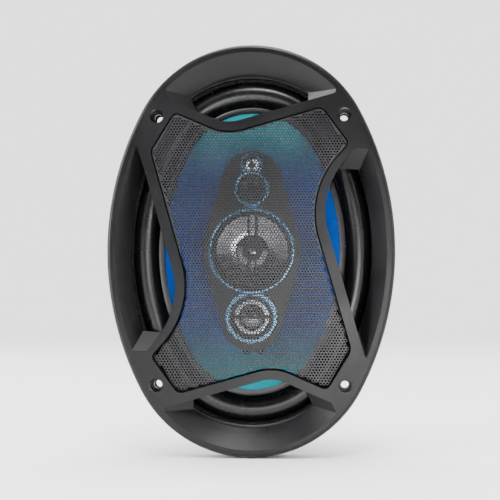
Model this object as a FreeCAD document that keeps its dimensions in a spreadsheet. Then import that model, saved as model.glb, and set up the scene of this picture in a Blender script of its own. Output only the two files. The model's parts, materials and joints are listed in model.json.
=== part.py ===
"""Coaxial car speaker, 6 x 9 inch, with its grille fitted.

Every piece is drawn in the speaker's own axes: x across the short width, y
along the long width, z forward from the mounting plane, which is the rear
face of the basket's flange. Each piece is then stood up by its Placement, so
that the front faces -Y, the long width runs along Z, and the origin is the
centre of the mounting plane.
"""
import FreeCAD, Part
import Sketcher
import math
import os

Vector = FreeCAD.Vector
Rotation = FreeCAD.Rotation

DIMENSIONS = {
    # Screw pattern and flange
    "screw_half_x": 55.5, "screw_half_y": 79.5, "screw_hole": 2.4,
    "ear_radius": 5.4, "flange_half_length": 116, "flange_thick": 1.5,
    # Outer oval family: grille and flange
    "grille_end_centre": 48.5, "grille_side_centre": 92,
    # Inner oval family: basket mouth, trim ring, surround and cone
    "cone_end_centre": 42, "cone_side_centre": 70.9,
    # Grille frame
    "grille_half_length": 121.5, "grille_height": 22.5, "grille_wall": 2,
    "grille_roof": 3, "grille_edge_round": 2.5, "throat_height": 13,
    "throat_wall_drop": 3, "throat_cut_drop": 0.5, "mesh_rebate": 1.6, "mesh_thick": 0.8,
    "boss_radius": 5.5, "boss_bottom": 9.6, "boss_floor": 2, "boss_recess": 4,
    # Mesh window: corners of one half, the other half is turned by 180 degrees
    "window_a_x": -45, "window_a_y": 82.1, "window_a_round": 4,
    "window_b_x": -14.2, "window_b_y": 68.7, "window_b_round": 28,
    "window_c_x": 42.5, "window_c_y": 84.5, "window_c_round": 5,
    "window_d_x": 58.6, "window_d_y": 62.6, "window_d_round": 3.5,
    "window_e_x": 33, "window_e_y": 33.7, "window_e_round": 50,
    "window_f_x": 59.5, "window_f_y": -58.6, "window_f_round": 8,
    # Long-end scoop
    "end_bend_x": -13.9, "end_bend_y": 74.5, "end_bend_round": 22.5,
    "end_tip_x": 50, "end_tip_y": 92.3, "end_tip_rim_x": 50.6,
    "end_back_x": -47.5, "end_back_y": 89.1, "end_back_rim_x": -50.4,
    "end_rim_radius": 68.5, "end_throat_radius": 56.2,
    "end_throat_tip_x": 33.3, "end_throat_tip_y": 87.65,
    "end_throat_back_x": -31, "end_throat_back_y": 81.94, "end_throat_back_rim_x": -36,
    # Side scoop
    "side_bend_x": 39.7, "side_bend_y": 32.2, "side_bend_round": 44,
    "side_top_x": 61, "side_top_y": 59.3, "side_rim_top_y": 59,
    "side_tip_x": 66.8, "side_tip_y": -62, "side_rim_tip_y": -63,
    "side_rim_radius": 172, "side_throat_radius": 163.2,
    "side_throat_top_x": 52.1, "side_throat_top_y": 48, "side_throat_rim_top_y": 47.2,
    "side_throat_tip_x": 62.49, "side_throat_tip_y": -47, "side_throat_rim_tip_y": -48,
    # Trim ring
    "ring_half_length": 109.5, "ring_inner_half_length": 103.5, "ring_bottom": 2.1,
    "ring_top": 9.5, "ring_pocket": 4.7,
    # Basket
    "mouth_half_length": 104, "basket_wall": 1.5, "cup_top": -37, "cup_radius": 47,
    "shelf_bottom": -40, "cup_low_radius": 42.5, "basket_bottom": -54,
    "basket_bore": 20, "side_window_top": 43, "side_window_low": 24,
    "end_window_top": 31, "end_window_low": 20, "window_top_z": -7,
    "window_low_z": -34, "basket_window_round": 6,
    # Surround
    "surround_thick": 0.6, "roll_outer": 102, "roll_inner": 87,
    "surround_lip_outer": 106, "surround_lip_inner": 83.4,
    # Cone and motor
    "cone_half_length": 84, "cone_rim_half_length": 86.8, "cone_thick": 0.8,
    "cone_bottom": -30, "former_inner": 12.7, "former_outer": 13,
    "former_bottom": -61, "coil_outer": 13.8, "coil_top": -51.5,
    "spider_inner": 13.3, "spider_outer": 45, "spider_z": -38.4, "spider_thick": 0.5,
    "spider_wave": 1.3, "collar_inner": 6.8, "collar_thick": 0.8, "collar_lap": 0.2,
    "collar_seat": 0.8, "collar_run": 3.2, "collar_rise": 3,
    "plate_radius": 39, "top_plate_thick": 6, "top_plate_bore": 14.4,
    "magnet_thick": 14, "magnet_radius": 40, "magnet_bore": 20,
    "back_plate_thick": 5, "pole_radius": 12.2, "pole_bore": 2.7,
    "cover_inner": 40.3, "cover_outer": 42, "cover_front": -63.5, "cover_back": -80,
    "cover_window": 19, "rivet_radius": 2.2, "rivet_circle": 30, "rivet_head": 1.2,
    # Pod
    "pod_end_centre": 42, "pod_end_radius": 18, "pod_middle_radius": 29.5,
    "pod_face": 8, "pod_plate": 1.5, "pod_back": -2.5, "hub_radius": 26,
    "hub_tip_radius": 15, "hub_tip": -16, "post_radius": 5.5, "post_flare": 9,
    "post_flare_z": -20, "post_bore": 2.6, "post_bore_depth": 18,
    "bolt_radius": 2.4, "bolt_across": 8, "bolt_head": 3, "bolt_pocket": 6,
    "bolt_sink": 0.5, "bolt_end_room": 1, "hull_taper": -18, "driver_play": 0.1,
    "mid_room_floor": -3.4, "tweeter_room_floor": -1.3, "large_room_floor": 0.9,
    "small_room_floor": 0.9, "mid_motor_floor": -14.6,
    # Mid driver
    "mid_cup": 23.5, "mid_trim": 26.3, "mid_motor_room": 14.4, "trim_top": 10.2,
    "trim_bevel": 0.7, "trim_clear_depth": 4, "funnel_wall": 0.7, "funnel_floor": -3.2,
    "funnel_floor_top": -2.4, "funnel_floor_inner": 20.6, "funnel_floor_wall": 1.4,
    "mid_coil_inner": 9.1, "mid_coil_outer": 9.9, "mid_coil_bottom": -9.8,
    "mid_coil_top": -5.4, "mid_magnet_radius": 8, "mid_magnet_bottom": -13,
    "mid_magnet_top": -9.4, "mid_pole_radius": 8.5, "mid_pole_top": -7.2,
    "mid_yoke_outer": 12.5, "mid_yoke_inner": 10.6, "mid_yoke_bottom": -14.5,
    "guard_inner": 1.6, "guard_outer": 2.8, "guard_half_length": 22.2, "guard_level": 1.4,
    "guard_thick": 1.6, "guard_hub": 5.8, "guard_hub_level": 1, "guard_hub_thick": 2.4,
    "guard_hole": 2.6,
    # Tweeter
    "tweeter_y": -39.8, "tweeter_cup": 12.5, "tweeter_trim": 16,
    "tweeter_wall": 0.8, "tweeter_cup_bottom": -1.2, "tweeter_seat_radius": 10.4,
    "tweeter_seat": 3.5, "tweeter_lip_inner": 8.9, "tweeter_lip_top": 3.7,
    "tweeter_ledge": 10.6, "tweeter_ledge_low": 3.9, "tweeter_ledge_top": 4.9,
    "tweeter_coil_inner": 7.4, "tweeter_coil_outer": 8, "tweeter_coil_bottom": 1.6,
    "tweeter_coil_top": 4.2, "tweeter_magnet_radius": 6, "tweeter_magnet_bottom": 0.8,
    "tweeter_magnet_top": 2.4, "tweeter_pole_radius": 6.8, "tweeter_pole_top": 3.4,
    "tweeter_yoke_outer": 10.2, "tweeter_yoke_inner": 8.6, "tweeter_yoke_bottom": -0.2,
    "tweeter_yoke_top": 3.2, "tweeter_bar_level": 7.4, "tweeter_bar_thick": 0.6,
    "tweeter_bar_half_length": 11.4, "tweeter_bar_half_width": 0.9,
    # Super tweeters
    "large_y": 37.4, "large_cup": 8.4, "large_trim": 11,
    "small_y": 52, "small_cup": 5.4, "small_trim": 7.2,
    "large_element": 3.4, "small_element": 2, "element_top": 4.4, "super_bottom": 1,
    "super_floor": 3.4, "super_wall": 0.7, "super_wall_low": 0.9, "horn_gap": 0.95,
    "horn_bottom": 3.9, "horn_foot": 0.4, "horn_rim": 6.4, "horn_rim_top": 6.9,
    "horn_throat_top": 4.5,
    # Terminals
    "board_x": 42.6, "board_thick": 1.6, "board_half_width": 13,
    "board_top": -41.5, "board_low": -53.5, "blade_thick": 0.8,
    "wide_blade": 6.3, "narrow_blade": 4.8, "blade_spread": 7, "blade_tip": -61,
    "blade_top_drop": 2, "blade_corner_rise": 1.5, "blade_corner_run": 1.2,
    "blade_rivet_radius": 1.5, "blade_rivet_height": 0.8, "blade_rivet_drop": 6,
    "lead_radius": 0.8, "pod_lead_radius": 0.6,
    "eyelet_radius": 2.2, "eyelet_height": 1.2,
}

# Half sections of the two small diaphragms, as (radius, height)
MID_DISH_SECTION = [
    (0, -2.7), (5, -3.2), (9.1, -5.4), (9.9, -5.4), (10.6, -3.2), (13.4, -2.8),
    (21.7, -0.3), (21.7, 0.2), (13.4, -2.3), (10.3, -2.6), (9.2, -3.8), (5, -2.6),
    (0, -2.1)]
TWEETER_DOME_SECTION = [
    (7.4, 4.2), (10.3, 4.2), (10.3, 4.5), (8.1, 4.5), (6.4, 5.7), (3.4, 6.7), (0, 7),
    (0, 6.7), (3.4, 6.4), (6.2, 5.4), (7.4, 4.5)]

STAND_UP = Rotation(Vector(1, 0, 0), 90)

doc = FreeCAD.newDocument("coaxial_speaker")
sheet = doc.addObject("Spreadsheet::Sheet", "sheet")
for row, (alias, number) in enumerate(DIMENSIONS.items(), 1):
    sheet.set(f"A{row}", alias)
    sheet.set(f"B{row}", str(number))
    sheet.setAlias(f"B{row}", alias)
doc.recompute()


class Size:
    """A length together with the spreadsheet expression that gives it."""

    def __init__(self, value, text):
        self.value = float(value)
        self.text = text

    def __add__(self, other):
        other = as_size(other)
        return Size(self.value + other.value, f"({self.text} + {other.text})")

    def __sub__(self, other):
        other = as_size(other)
        return Size(self.value - other.value, f"({self.text} - {other.text})")

    def __mul__(self, factor):
        return Size(self.value * factor, f"({self.text} * {factor})")

    def __neg__(self):
        return Size(-self.value, f"(0 - {self.text})")


def as_size(number):
    """A plain number as a Size, and a Size as it is."""
    if isinstance(number, Size):
        return number
    return Size(number, f"({number})")


def cell(alias):
    """The Size held by one spreadsheet cell."""
    return Size(sheet.get(alias), f"sheet.{alias}")


pieces = []


def stand(piece, label, along=None):
    """Label a finished piece and stand it up, moved by `along` on the long axis."""
    piece.Label = label
    piece.Placement = FreeCAD.Placement(Vector(0, 0, 0), STAND_UP)
    if along is not None:
        piece.setExpression("Placement.Base.z", along.text)
    pieces.append(piece)
    return piece


def new_body(name):
    return doc.addObject("PartDesign::Body", name)


def origin_feature(body, role):
    return next(item for item in body.Origin.OriginFeatures if item.Role == role)


def new_sketch(body, role, name, height=None):
    """A sketch on one of the body's own planes, lifted by `height` along its normal."""
    sketch = body.newObject("Sketcher::SketchObject", name)
    sketch.AttachmentSupport = [(origin_feature(body, role), "")]
    sketch.MapMode = "FlatFace"
    if height is not None:
        sketch.setExpression("AttachmentOffset.Base.z", as_size(height).text)
    return sketch


def constrain(sketch, *args, size=None):
    """Add one constraint, bound to the expression of `size` when it is given."""
    if size is None:
        return sketch.addConstraint(Sketcher.Constraint(*args))
    size = as_size(size)
    index = sketch.addConstraint(Sketcher.Constraint(*args, size.value))
    sketch.setExpression(f"Constraints[{index}]", size.text)
    return index


def fix_point(sketch, geometry, end, x=None, y=None):
    """Hold a point's x and y from the sketch's origin."""
    if x is not None:
        if as_size(x).value == 0:
            constrain(sketch, "PointOnObject", geometry, end, -2)
        else:
            constrain(sketch, "DistanceX", -1, 1, geometry, end, size=x)
    if y is not None:
        if as_size(y).value == 0:
            constrain(sketch, "PointOnObject", geometry, end, -1)
        else:
            constrain(sketch, "DistanceY", -1, 1, geometry, end, size=y)


def circle(sketch, radius, x=0, y=0):
    """A circle of a given radius, centred at x, y."""
    radius = as_size(radius)
    centre = Vector(as_size(x).value, as_size(y).value, 0)
    index = sketch.addGeometry(Part.Circle(centre, Vector(0, 0, 1), radius.value))
    fix_point(sketch, index, 3, x, y)
    constrain(sketch, "Radius", index, size=radius)


def box(sketch, x_low, x_high, y_low, y_high):
    """A rectangle between two corners."""
    polygon(sketch, [(x_low, y_low), (x_high, y_low), (x_high, y_high), (x_low, y_high)])


def polygon(sketch, corners):
    """A closed outline of straight edges through (x, y) corners."""
    points = [Vector(as_size(x).value, as_size(y).value, 0) for x, y in corners]
    count = len(points)
    lines = [sketch.addGeometry(Part.LineSegment(points[i], points[(i + 1) % count]))
             for i in range(count)]
    for i in range(count):
        constrain(sketch, "Coincident", lines[i], 2, lines[(i + 1) % count], 1)
        fix_point(sketch, lines[i], 1, *corners[i])


def short_arc(sketch, centre, radius, first, last):
    """The shorter arc between two points: its index, and its ends at first and last."""
    start = math.atan2(first.y - centre.y, first.x - centre.x)
    stop = math.atan2(last.y - centre.y, last.x - centre.x)
    ends = (1, 2)
    if (stop - start) % (2 * math.pi) > math.pi:
        start, stop = stop, start
        ends = (2, 1)
    if stop < start:
        stop += 2 * math.pi
    whole = Part.Circle(centre, Vector(0, 0, 1), radius)
    return sketch.addGeometry(Part.ArcOfCircle(whole, start, stop)), *ends


def rounded_polygon(sketch, corners):
    """A closed outline through (x, y, radius) corners, each rounded by its radius.

    The sharp corners stay in the sketch as points on the two edges beside them.
    """
    points = [Vector(as_size(x).value, as_size(y).value, 0) for x, y, _ in corners]
    count = len(points)
    ends = []
    for i in range(count):
        before = (points[i - 1] - points[i]).normalize()
        after = (points[(i + 1) % count] - points[i]).normalize()
        half = before.getAngle(after) / 2
        reach = as_size(corners[i][2]).value / math.tan(half)
        centre = points[i] + (before + after).normalize() * (
            as_size(corners[i][2]).value / math.sin(half))
        ends.append((points[i] + before * reach, points[i] + after * reach, centre))
    lines = []
    arcs = []
    for i in range(count):
        start = ends[i][1]
        end = ends[(i + 1) % count][0]
        lines.append(sketch.addGeometry(Part.LineSegment(start, end)))
    for i in range(count):
        first, last, centre = ends[i]
        arcs.append(short_arc(sketch, centre, as_size(corners[i][2]).value, first, last))
    for i in range(count):
        arc, near, far = arcs[i]
        constrain(sketch, "Tangent", lines[i - 1], 2, arc, near)
        constrain(sketch, "Tangent", arc, far, lines[i], 1)
        constrain(sketch, "Radius", arc, size=corners[i][2])
        mark = sketch.addGeometry(Part.Point(points[i]))
        sketch.setConstruction(mark, True)
        constrain(sketch, "PointOnObject", mark, 1, lines[i - 1])
        constrain(sketch, "PointOnObject", mark, 1, lines[i])
        fix_point(sketch, mark, 1, corners[i][0], corners[i][1])


def oval(sketch, family, half_length):
    """A four-arc oval of a family of parallel ovals, of a given half length.

    The two end arcs are centred on the long axis and the two side arcs on the
    short axis, at the family's distances, and they meet tangentially.
    """
    end_centre = cell(f"{family}_end_centre")
    side_centre = cell(f"{family}_side_centre")
    radius = as_size(half_length) - end_centre
    reach = radius.value + math.hypot(end_centre.value, side_centre.value)
    join = math.atan2(end_centre.value, side_centre.value)

    def arc(x, y, size, start, stop):
        whole = Part.Circle(Vector(x, y, 0), Vector(0, 0, 1), size)
        return sketch.addGeometry(Part.ArcOfCircle(whole, start, stop))

    top = arc(0, end_centre.value, radius.value, join, math.pi - join)
    left = arc(side_centre.value, 0, reach, math.pi - join, math.pi + join)
    low = arc(0, -end_centre.value, radius.value, math.pi + join, 2 * math.pi - join)
    right = arc(-side_centre.value, 0, reach, -join, join)
    constrain(sketch, "Tangent", right, 2, top, 1)
    constrain(sketch, "Symmetric", top, 1, top, 2, -2)
    constrain(sketch, "Symmetric", right, 1, right, 2, -1)
    constrain(sketch, "Radius", top, size=radius)
    constrain(sketch, "DistanceY", -1, 1, top, 3, size=end_centre)
    constrain(sketch, "DistanceX", right, 3, -1, 1, size=side_centre)
    constrain(sketch, "Coincident", low, 2, right, 1)
    constrain(sketch, "Symmetric", low, 1, low, 2, -2)
    constrain(sketch, "Equal", low, top)
    constrain(sketch, "Coincident", left, 1, top, 2)
    constrain(sketch, "Coincident", left, 2, low, 1)
    constrain(sketch, "Equal", left, right)


def split_circle(sketch, family, radius):
    """A circle in four arcs that begin and end at an oval family's joins."""
    radius = as_size(radius)
    join = math.atan2(cell(f"{family}_end_centre").value, cell(f"{family}_side_centre").value)
    stops = [join, math.pi - join, math.pi + join, 2 * math.pi - join, 2 * math.pi + join]
    whole = Part.Circle(Vector(0, 0, 0), Vector(0, 0, 1), radius.value)
    arcs = [sketch.addGeometry(Part.ArcOfCircle(whole, stops[i], stops[i + 1]))
            for i in range(4)]
    for i in range(4):
        constrain(sketch, "Coincident", arcs[i], 2, arcs[(i + 1) % 4], 1)
    for i in range(3):
        constrain(sketch, "Coincident", arcs[i], 3, -1, 1)
    constrain(sketch, "Equal", arcs[3], arcs[0])
    constrain(sketch, "Radius", arcs[0], size=radius)
    constrain(sketch, "DistanceX", -1, 1, arcs[0], 1, size=radius * math.cos(join))
    constrain(sketch, "Horizontal", arcs[0], 1, arcs[0], 2)
    constrain(sketch, "Vertical", arcs[0], 1, arcs[3], 1)
    constrain(sketch, "Vertical", arcs[0], 2, arcs[2], 1)


def pad(body, sketch, length, name):
    """A Pad forward along the sketch's normal."""
    feature = body.newObject("PartDesign::Pad", name)
    feature.Profile = sketch
    feature.setExpression("Length", as_size(length).text)
    return feature


def pocket(body, sketch, length, name, forward=False):
    """A Pocket backward from the sketch, or forward along its normal."""
    feature = body.newObject("PartDesign::Pocket", name)
    feature.Profile = sketch
    feature.setExpression("Length", as_size(length).text)
    feature.Reversed = forward
    return feature


def loft(body, kind, sections, name):
    """An AdditiveLoft or SubtractiveLoft with straight sides between two sketches."""
    feature = body.newObject(f"PartDesign::{kind}Loft", name)
    feature.Profile = sections[0]
    feature.Sections = sections[1:]
    feature.Ruled = True
    return feature


def turned(label, profile, along=None):
    """A body of revolution about the z axis from (radius, z) corners."""
    body = new_body(label)
    sketch = new_sketch(body, "XZ_Plane", f"{label}_profile")
    polygon(sketch, profile)
    turn = body.newObject("PartDesign::Revolution", f"{label}_turned")
    turn.Profile = sketch
    turn.ReferenceAxis = (sketch, ["V_Axis"])
    turn.Angle = 360
    return stand(body, label, along)


def tube_profile(inner, outer, low, high):
    """The corners of a plain ring's section."""
    return [(inner, low), (outer, low), (outer, high), (inner, high)]


def half_turn(body, features, sketch, name):
    """Repeat features turned by 180 degrees about the z axis."""
    pattern = body.newObject("PartDesign::PolarPattern", name)
    pattern.Originals = features
    pattern.Axis = (sketch, ["N_Axis"])
    pattern.Angle = 360
    pattern.Occurrences = 2
    body.Tip = pattern
    return pattern


def window_corners():
    """The mesh window's corners: six, and the same six turned by 180 degrees."""
    half = []
    for letter in "abcdef":
        x = cell(f"window_{letter}_x")
        y = cell(f"window_{letter}_y")
        half.append((x, y, cell(f"window_{letter}_round")))
    return half + [(-x, -y, radius) for x, y, radius in half]


def scoop_outline(sketch, bend, near, far, centre, radius, along_x):
    """A scoop's outline: two straight bead edges, two ends and the rim arc.

    `bend` is the (x, y, radius) of the rounded corner between the bead edges.
    `near` and `far` are each a bead point (x, y) and the free coordinate of the
    point on the rim arc, which is x where `along_x` is true and y elsewhere.
    """
    radius = as_size(radius)
    centre_x, centre_y = (as_size(item) for item in centre)

    def on_rim(free):
        free = as_size(free).value
        if along_x:
            rise = math.sqrt(radius.value ** 2 - (free - centre_x.value) ** 2)
            return Vector(free, centre_y.value + rise, 0)
        rise = math.sqrt(radius.value ** 2 - (free - centre_y.value) ** 2)
        return Vector(centre_x.value + rise, free, 0)

    corner = Vector(as_size(bend[0]).value, as_size(bend[1]).value, 0)
    near_bead = Vector(as_size(near[0]).value, as_size(near[1]).value, 0)
    far_bead = Vector(as_size(far[0]).value, as_size(far[1]).value, 0)
    near_rim = on_rim(near[2])
    far_rim = on_rim(far[2])
    to_near = (near_bead - corner).normalize()
    to_far = (far_bead - corner).normalize()
    half = to_near.getAngle(to_far) / 2
    bend_radius = as_size(bend[2])
    reach = bend_radius.value / math.tan(half)
    turn_centre = corner + (to_near + to_far).normalize() * (bend_radius.value / math.sin(half))
    turn_near = corner + to_near * reach
    turn_far = corner + to_far * reach
    rim_centre = Vector(centre_x.value, centre_y.value, 0)

    line_near = sketch.addGeometry(Part.LineSegment(turn_near, near_bead))
    end_near = sketch.addGeometry(Part.LineSegment(near_bead, near_rim))
    rim, rim_near, rim_far = short_arc(sketch, rim_centre, radius.value, near_rim, far_rim)
    end_far = sketch.addGeometry(Part.LineSegment(far_rim, far_bead))
    line_far = sketch.addGeometry(Part.LineSegment(far_bead, turn_far))
    turn, bend_far, bend_near = short_arc(
        sketch, turn_centre, bend_radius.value, turn_far, turn_near)

    constrain(sketch, "Coincident", line_near, 2, end_near, 1)
    constrain(sketch, "Coincident", end_near, 2, rim, rim_near)
    constrain(sketch, "Coincident", rim, rim_far, end_far, 1)
    constrain(sketch, "Coincident", end_far, 2, line_far, 1)
    constrain(sketch, "Tangent", line_far, 2, turn, bend_far)
    constrain(sketch, "Tangent", turn, bend_near, line_near, 1)
    constrain(sketch, "Radius", turn, size=bend_radius)
    fix_point(sketch, end_near, 1, near[0], near[1])
    fix_point(sketch, line_far, 1, far[0], far[1])
    mark = sketch.addGeometry(Part.Point(corner))
    sketch.setConstruction(mark, True)
    constrain(sketch, "PointOnObject", mark, 1, line_near)
    constrain(sketch, "PointOnObject", mark, 1, line_far)
    fix_point(sketch, mark, 1, bend[0], bend[1])
    fix_point(sketch, rim, 3, centre_x, centre_y)
    constrain(sketch, "Radius", rim, size=radius)
    if along_x:
        fix_point(sketch, end_near, 2, x=near[2])
        fix_point(sketch, end_far, 1, x=far[2])
    else:
        fix_point(sketch, end_near, 2, y=near[2])
        fix_point(sketch, end_far, 1, y=far[2])


def end_scoop(sketch, throat):
    """The long-end scoop's outline, at the ridge or at the throat."""
    bend = (cell("end_bend_x"), cell("end_bend_y"), cell("end_bend_round"))
    centre = (0, cell("grille_end_centre"))
    if throat:
        near = (cell("end_throat_tip_x"), cell("end_throat_tip_y"), cell("end_throat_tip_x"))
        far = (cell("end_throat_back_x"), cell("end_throat_back_y"),
               cell("end_throat_back_rim_x"))
        scoop_outline(sketch, bend, near, far, centre, cell("end_throat_radius"), True)
    else:
        near = (cell("end_tip_x"), cell("end_tip_y"), cell("end_tip_rim_x"))
        far = (cell("end_back_x"), cell("end_back_y"), cell("end_back_rim_x"))
        scoop_outline(sketch, bend, near, far, centre, cell("end_rim_radius"), True)


def side_scoop(sketch, throat):
    """The long-side scoop's outline, at the ridge or at the throat."""
    bend = (cell("side_bend_x"), cell("side_bend_y"), cell("side_bend_round"))
    centre = (-cell("grille_side_centre"), 0)
    if throat:
        near = (cell("side_throat_top_x"), cell("side_throat_top_y"),
                cell("side_throat_rim_top_y"))
        far = (cell("side_throat_tip_x"), cell("side_throat_tip_y"),
               cell("side_throat_rim_tip_y"))
        scoop_outline(sketch, bend, near, far, centre, cell("side_throat_radius"), False)
    else:
        near = (cell("side_top_x"), cell("side_top_y"), cell("side_rim_top_y"))
        far = (cell("side_tip_x"), cell("side_tip_y"), cell("side_rim_tip_y"))
        scoop_outline(sketch, bend, near, far, centre, cell("side_rim_radius"), False)


def scoop_lofts(body, kind, ridge_drop, mouth_drop, prefix):
    """The lofts of one end scoop and one side scoop, with lowered ridges and mouths."""
    top = cell("grille_height") - ridge_drop
    throat = cell("throat_height") - mouth_drop
    lofts = []
    for name, outline in (("end", end_scoop), ("side", side_scoop)):
        ridge = new_sketch(body, "XY_Plane", f"{prefix}_{name}_ridge", top)
        outline(ridge, False)
        mouth = new_sketch(body, "XY_Plane", f"{prefix}_{name}_mouth", throat)
        outline(mouth, True)
        lofts.append(loft(body, kind, [ridge, mouth], f"{prefix}_{name}"))
    return lofts


def screw_points():
    """The four screw places, as pairs of Sizes."""
    across = cell("screw_half_x")
    along = cell("screw_half_y")
    return [(across, along), (-across, along), (-across, -along), (across, -along)]


def screw_circles(sketch, radius):
    for x, y in screw_points():
        circle(sketch, radius, x, y)


def grille_frame():
    """The moulded grille: skirt, roof, four scoops, four bosses, mesh window."""
    body = new_body("grille_frame")
    height = cell("grille_height")
    roof = cell("grille_roof")
    inner = cell("grille_half_length") - cell("grille_wall")
    outline = new_sketch(body, "XY_Plane", "rim_outline")
    oval(outline, "grille", cell("grille_half_length"))
    block = pad(body, outline, height, "rim")
    doc.recompute()
    edge = body.newObject("PartDesign::Fillet", "rim_round")
    top_edges = [f"Edge{i}" for i, item in enumerate(block.Shape.Edges, 1)
                 if abs(item.BoundBox.ZMin - height.value) < 1e-6]
    edge.Base = (block, top_edges)
    edge.setExpression("Radius", "sheet.grille_edge_round")

    hollow = new_sketch(body, "XY_Plane", "hollow_outline")
    oval(hollow, "grille", inner)
    pocket(body, hollow, height - roof, "hollow", forward=True)

    drop = cell("throat_wall_drop")
    walls = scoop_lofts(body, "Additive", drop, drop, "wall")
    half_turn(body, walls, outline, "walls_turned")
    cut_drop = cell("throat_cut_drop")
    throats = scoop_lofts(body, "Subtractive", as_size(0), cut_drop, "throat")
    half_turn(body, throats, outline, "throats_turned")
    trim = new_sketch(body, "XY_Plane", "trim_outline")
    oval(trim, "grille", inner)
    pocket(body, trim, cell("throat_height"), "trim_walls", forward=True)

    bosses = new_sketch(body, "XY_Plane", "boss_circles", cell("boss_bottom"))
    screw_circles(bosses, cell("boss_radius"))
    pad(body, bosses, height - cell("boss_bottom") - 0.5, "bosses")
    recesses = new_sketch(body, "XY_Plane", "recess_circles", height)
    screw_circles(recesses, cell("boss_recess"))
    pocket(body, recesses, height - cell("boss_bottom") - cell("boss_floor"), "recesses")
    holes = new_sketch(body, "XY_Plane", "hole_circles", height)
    screw_circles(holes, cell("screw_hole"))
    pocket(body, holes, height, "holes")

    rebate = new_sketch(body, "XY_Plane", "rebate_outline", height)
    rounded_polygon(rebate, window_corners())
    pocket(body, rebate, cell("mesh_rebate"), "rebate")
    window = new_sketch(body, "XY_Plane", "window_outline", height - cell("mesh_rebate"))
    rounded_polygon(window, window_corners())
    through = pocket(body, window, roof, "window")
    through.TaperAngle = -40
    return stand(body, "grille_frame")


def grille_mesh():
    """The mesh sheet that lies in the frame's rebate."""
    body = new_body("grille_mesh")
    base = cell("grille_height") - cell("mesh_rebate")
    outline = new_sketch(body, "XY_Plane", "mesh_outline", base)
    rounded_polygon(outline, window_corners())
    pad(body, outline, cell("mesh_thick"), "mesh_sheet")
    return stand(body, "grille_mesh")


def trim_ring():
    """The raised ring on the flange, with a pocket at each screw."""
    body = new_body("trim_ring")
    ring = new_sketch(body, "XY_Plane", "ring_outline", cell("ring_bottom"))
    oval(ring, "cone", cell("ring_half_length"))
    oval(ring, "cone", cell("ring_inner_half_length"))
    pad(body, ring, cell("ring_top") - cell("ring_bottom"), "ring")
    cuts = new_sketch(body, "XY_Plane", "ring_pockets", cell("ring_bottom"))
    screw_circles(cuts, cell("ring_pocket"))
    pocket(body, cuts, cell("ring_top"), "pockets", forward=True)
    return stand(body, "trim_ring")


def basket():
    """The stamped basket: flange with ears, tapered arms, cup and bottom."""
    body = new_body("basket")
    wall = cell("basket_wall")
    mouth = cell("mouth_half_length")
    flange = new_sketch(body, "XY_Plane", "flange_outline")
    oval(flange, "grille", cell("flange_half_length"))
    pad(body, flange, cell("flange_thick"), "flange")
    ears = new_sketch(body, "XY_Plane", "ear_circles")
    screw_circles(ears, cell("ear_radius"))
    pad(body, ears, cell("flange_thick"), "ears")

    def skin(name, half_length, radius, high, kind):
        upper = new_sketch(body, "XY_Plane", f"{name}_upper", high)
        oval(upper, "cone", half_length)
        lower = new_sketch(body, "XY_Plane", f"{name}_lower", cell("cup_top"))
        split_circle(lower, "cone", radius)
        return loft(body, kind, [upper, lower], name)

    skin("arms", mouth, cell("cup_radius"), as_size(0), "Additive")
    cup = new_sketch(body, "XZ_Plane", "cup_profile")
    low = cell("cup_low_radius")
    shelf = cell("shelf_bottom")
    polygon(cup, [(0, cell("cup_top")), (cell("cup_radius"), cell("cup_top")),
                  (cell("cup_radius"), shelf), (low, shelf), (low, cell("basket_bottom")),
                  (0, cell("basket_bottom"))])
    solid_cup = body.newObject("PartDesign::Revolution", "cup")
    solid_cup.Profile = cup
    solid_cup.ReferenceAxis = (cup, ["V_Axis"])
    solid_cup.Angle = 360

    throat = new_sketch(body, "XY_Plane", "mouth_outline", cell("flange_thick"))
    oval(throat, "cone", mouth - wall)
    pocket(body, throat, cell("flange_thick"), "mouth")
    skin("inside", mouth - wall, cell("cup_radius") - wall, as_size(0), "Subtractive")
    room = new_sketch(body, "XZ_Plane", "room_profile")
    floor = cell("basket_bottom") + wall
    step = shelf + wall
    polygon(room, [(0, cell("cup_top")), (cell("cup_radius") - wall, cell("cup_top")),
                   (cell("cup_radius") - wall, step), (low - wall, step),
                   (low - wall, floor), (cell("basket_bore"), floor),
                   (cell("basket_bore"), cell("basket_bottom")),
                   (0, cell("basket_bottom"))])
    hollow = body.newObject("PartDesign::Groove", "room")
    hollow.Profile = room
    hollow.ReferenceAxis = (room, ["V_Axis"])
    hollow.Angle = 360

    for name, role in (("side", "YZ_Plane"), ("end", "XZ_Plane")):
        view = new_sketch(body, role, f"{name}_windows_outline")
        wide = cell(f"{name}_window_top")
        narrow = cell(f"{name}_window_low")
        high = cell("window_top_z")
        deep = cell("window_low_z")
        round_size = cell("basket_window_round")
        rounded_polygon(view, [(-wide, high, round_size), (-narrow, deep, round_size),
                               (narrow, deep, round_size), (wide, high, round_size)])
        opening = pocket(body, view, cell("flange_half_length") * 2, f"{name}_windows")
        opening.Midplane = True
    drill_rivets(body, floor, wall)
    holes = new_sketch(body, "XY_Plane", "flange_holes", cell("flange_thick"))
    screw_circles(holes, cell("screw_hole"))
    pocket(body, holes, cell("flange_thick"), "screw_holes")
    return stand(body, "basket")


def family_shift(family):
    """How much shorter an oval's half width is than its half length."""
    end_centre = cell(f"{family}_end_centre")
    side_centre = cell(f"{family}_side_centre")
    slant = math.hypot(end_centre.value, side_centre.value)
    text = (f"(sheet.{family}_end_centre + sheet.{family}_side_centre"
            f" - sqrt(sheet.{family}_end_centre ^ 2 + sheet.{family}_side_centre ^ 2))")
    return Size(end_centre.value + side_centre.value - slant, text)


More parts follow.
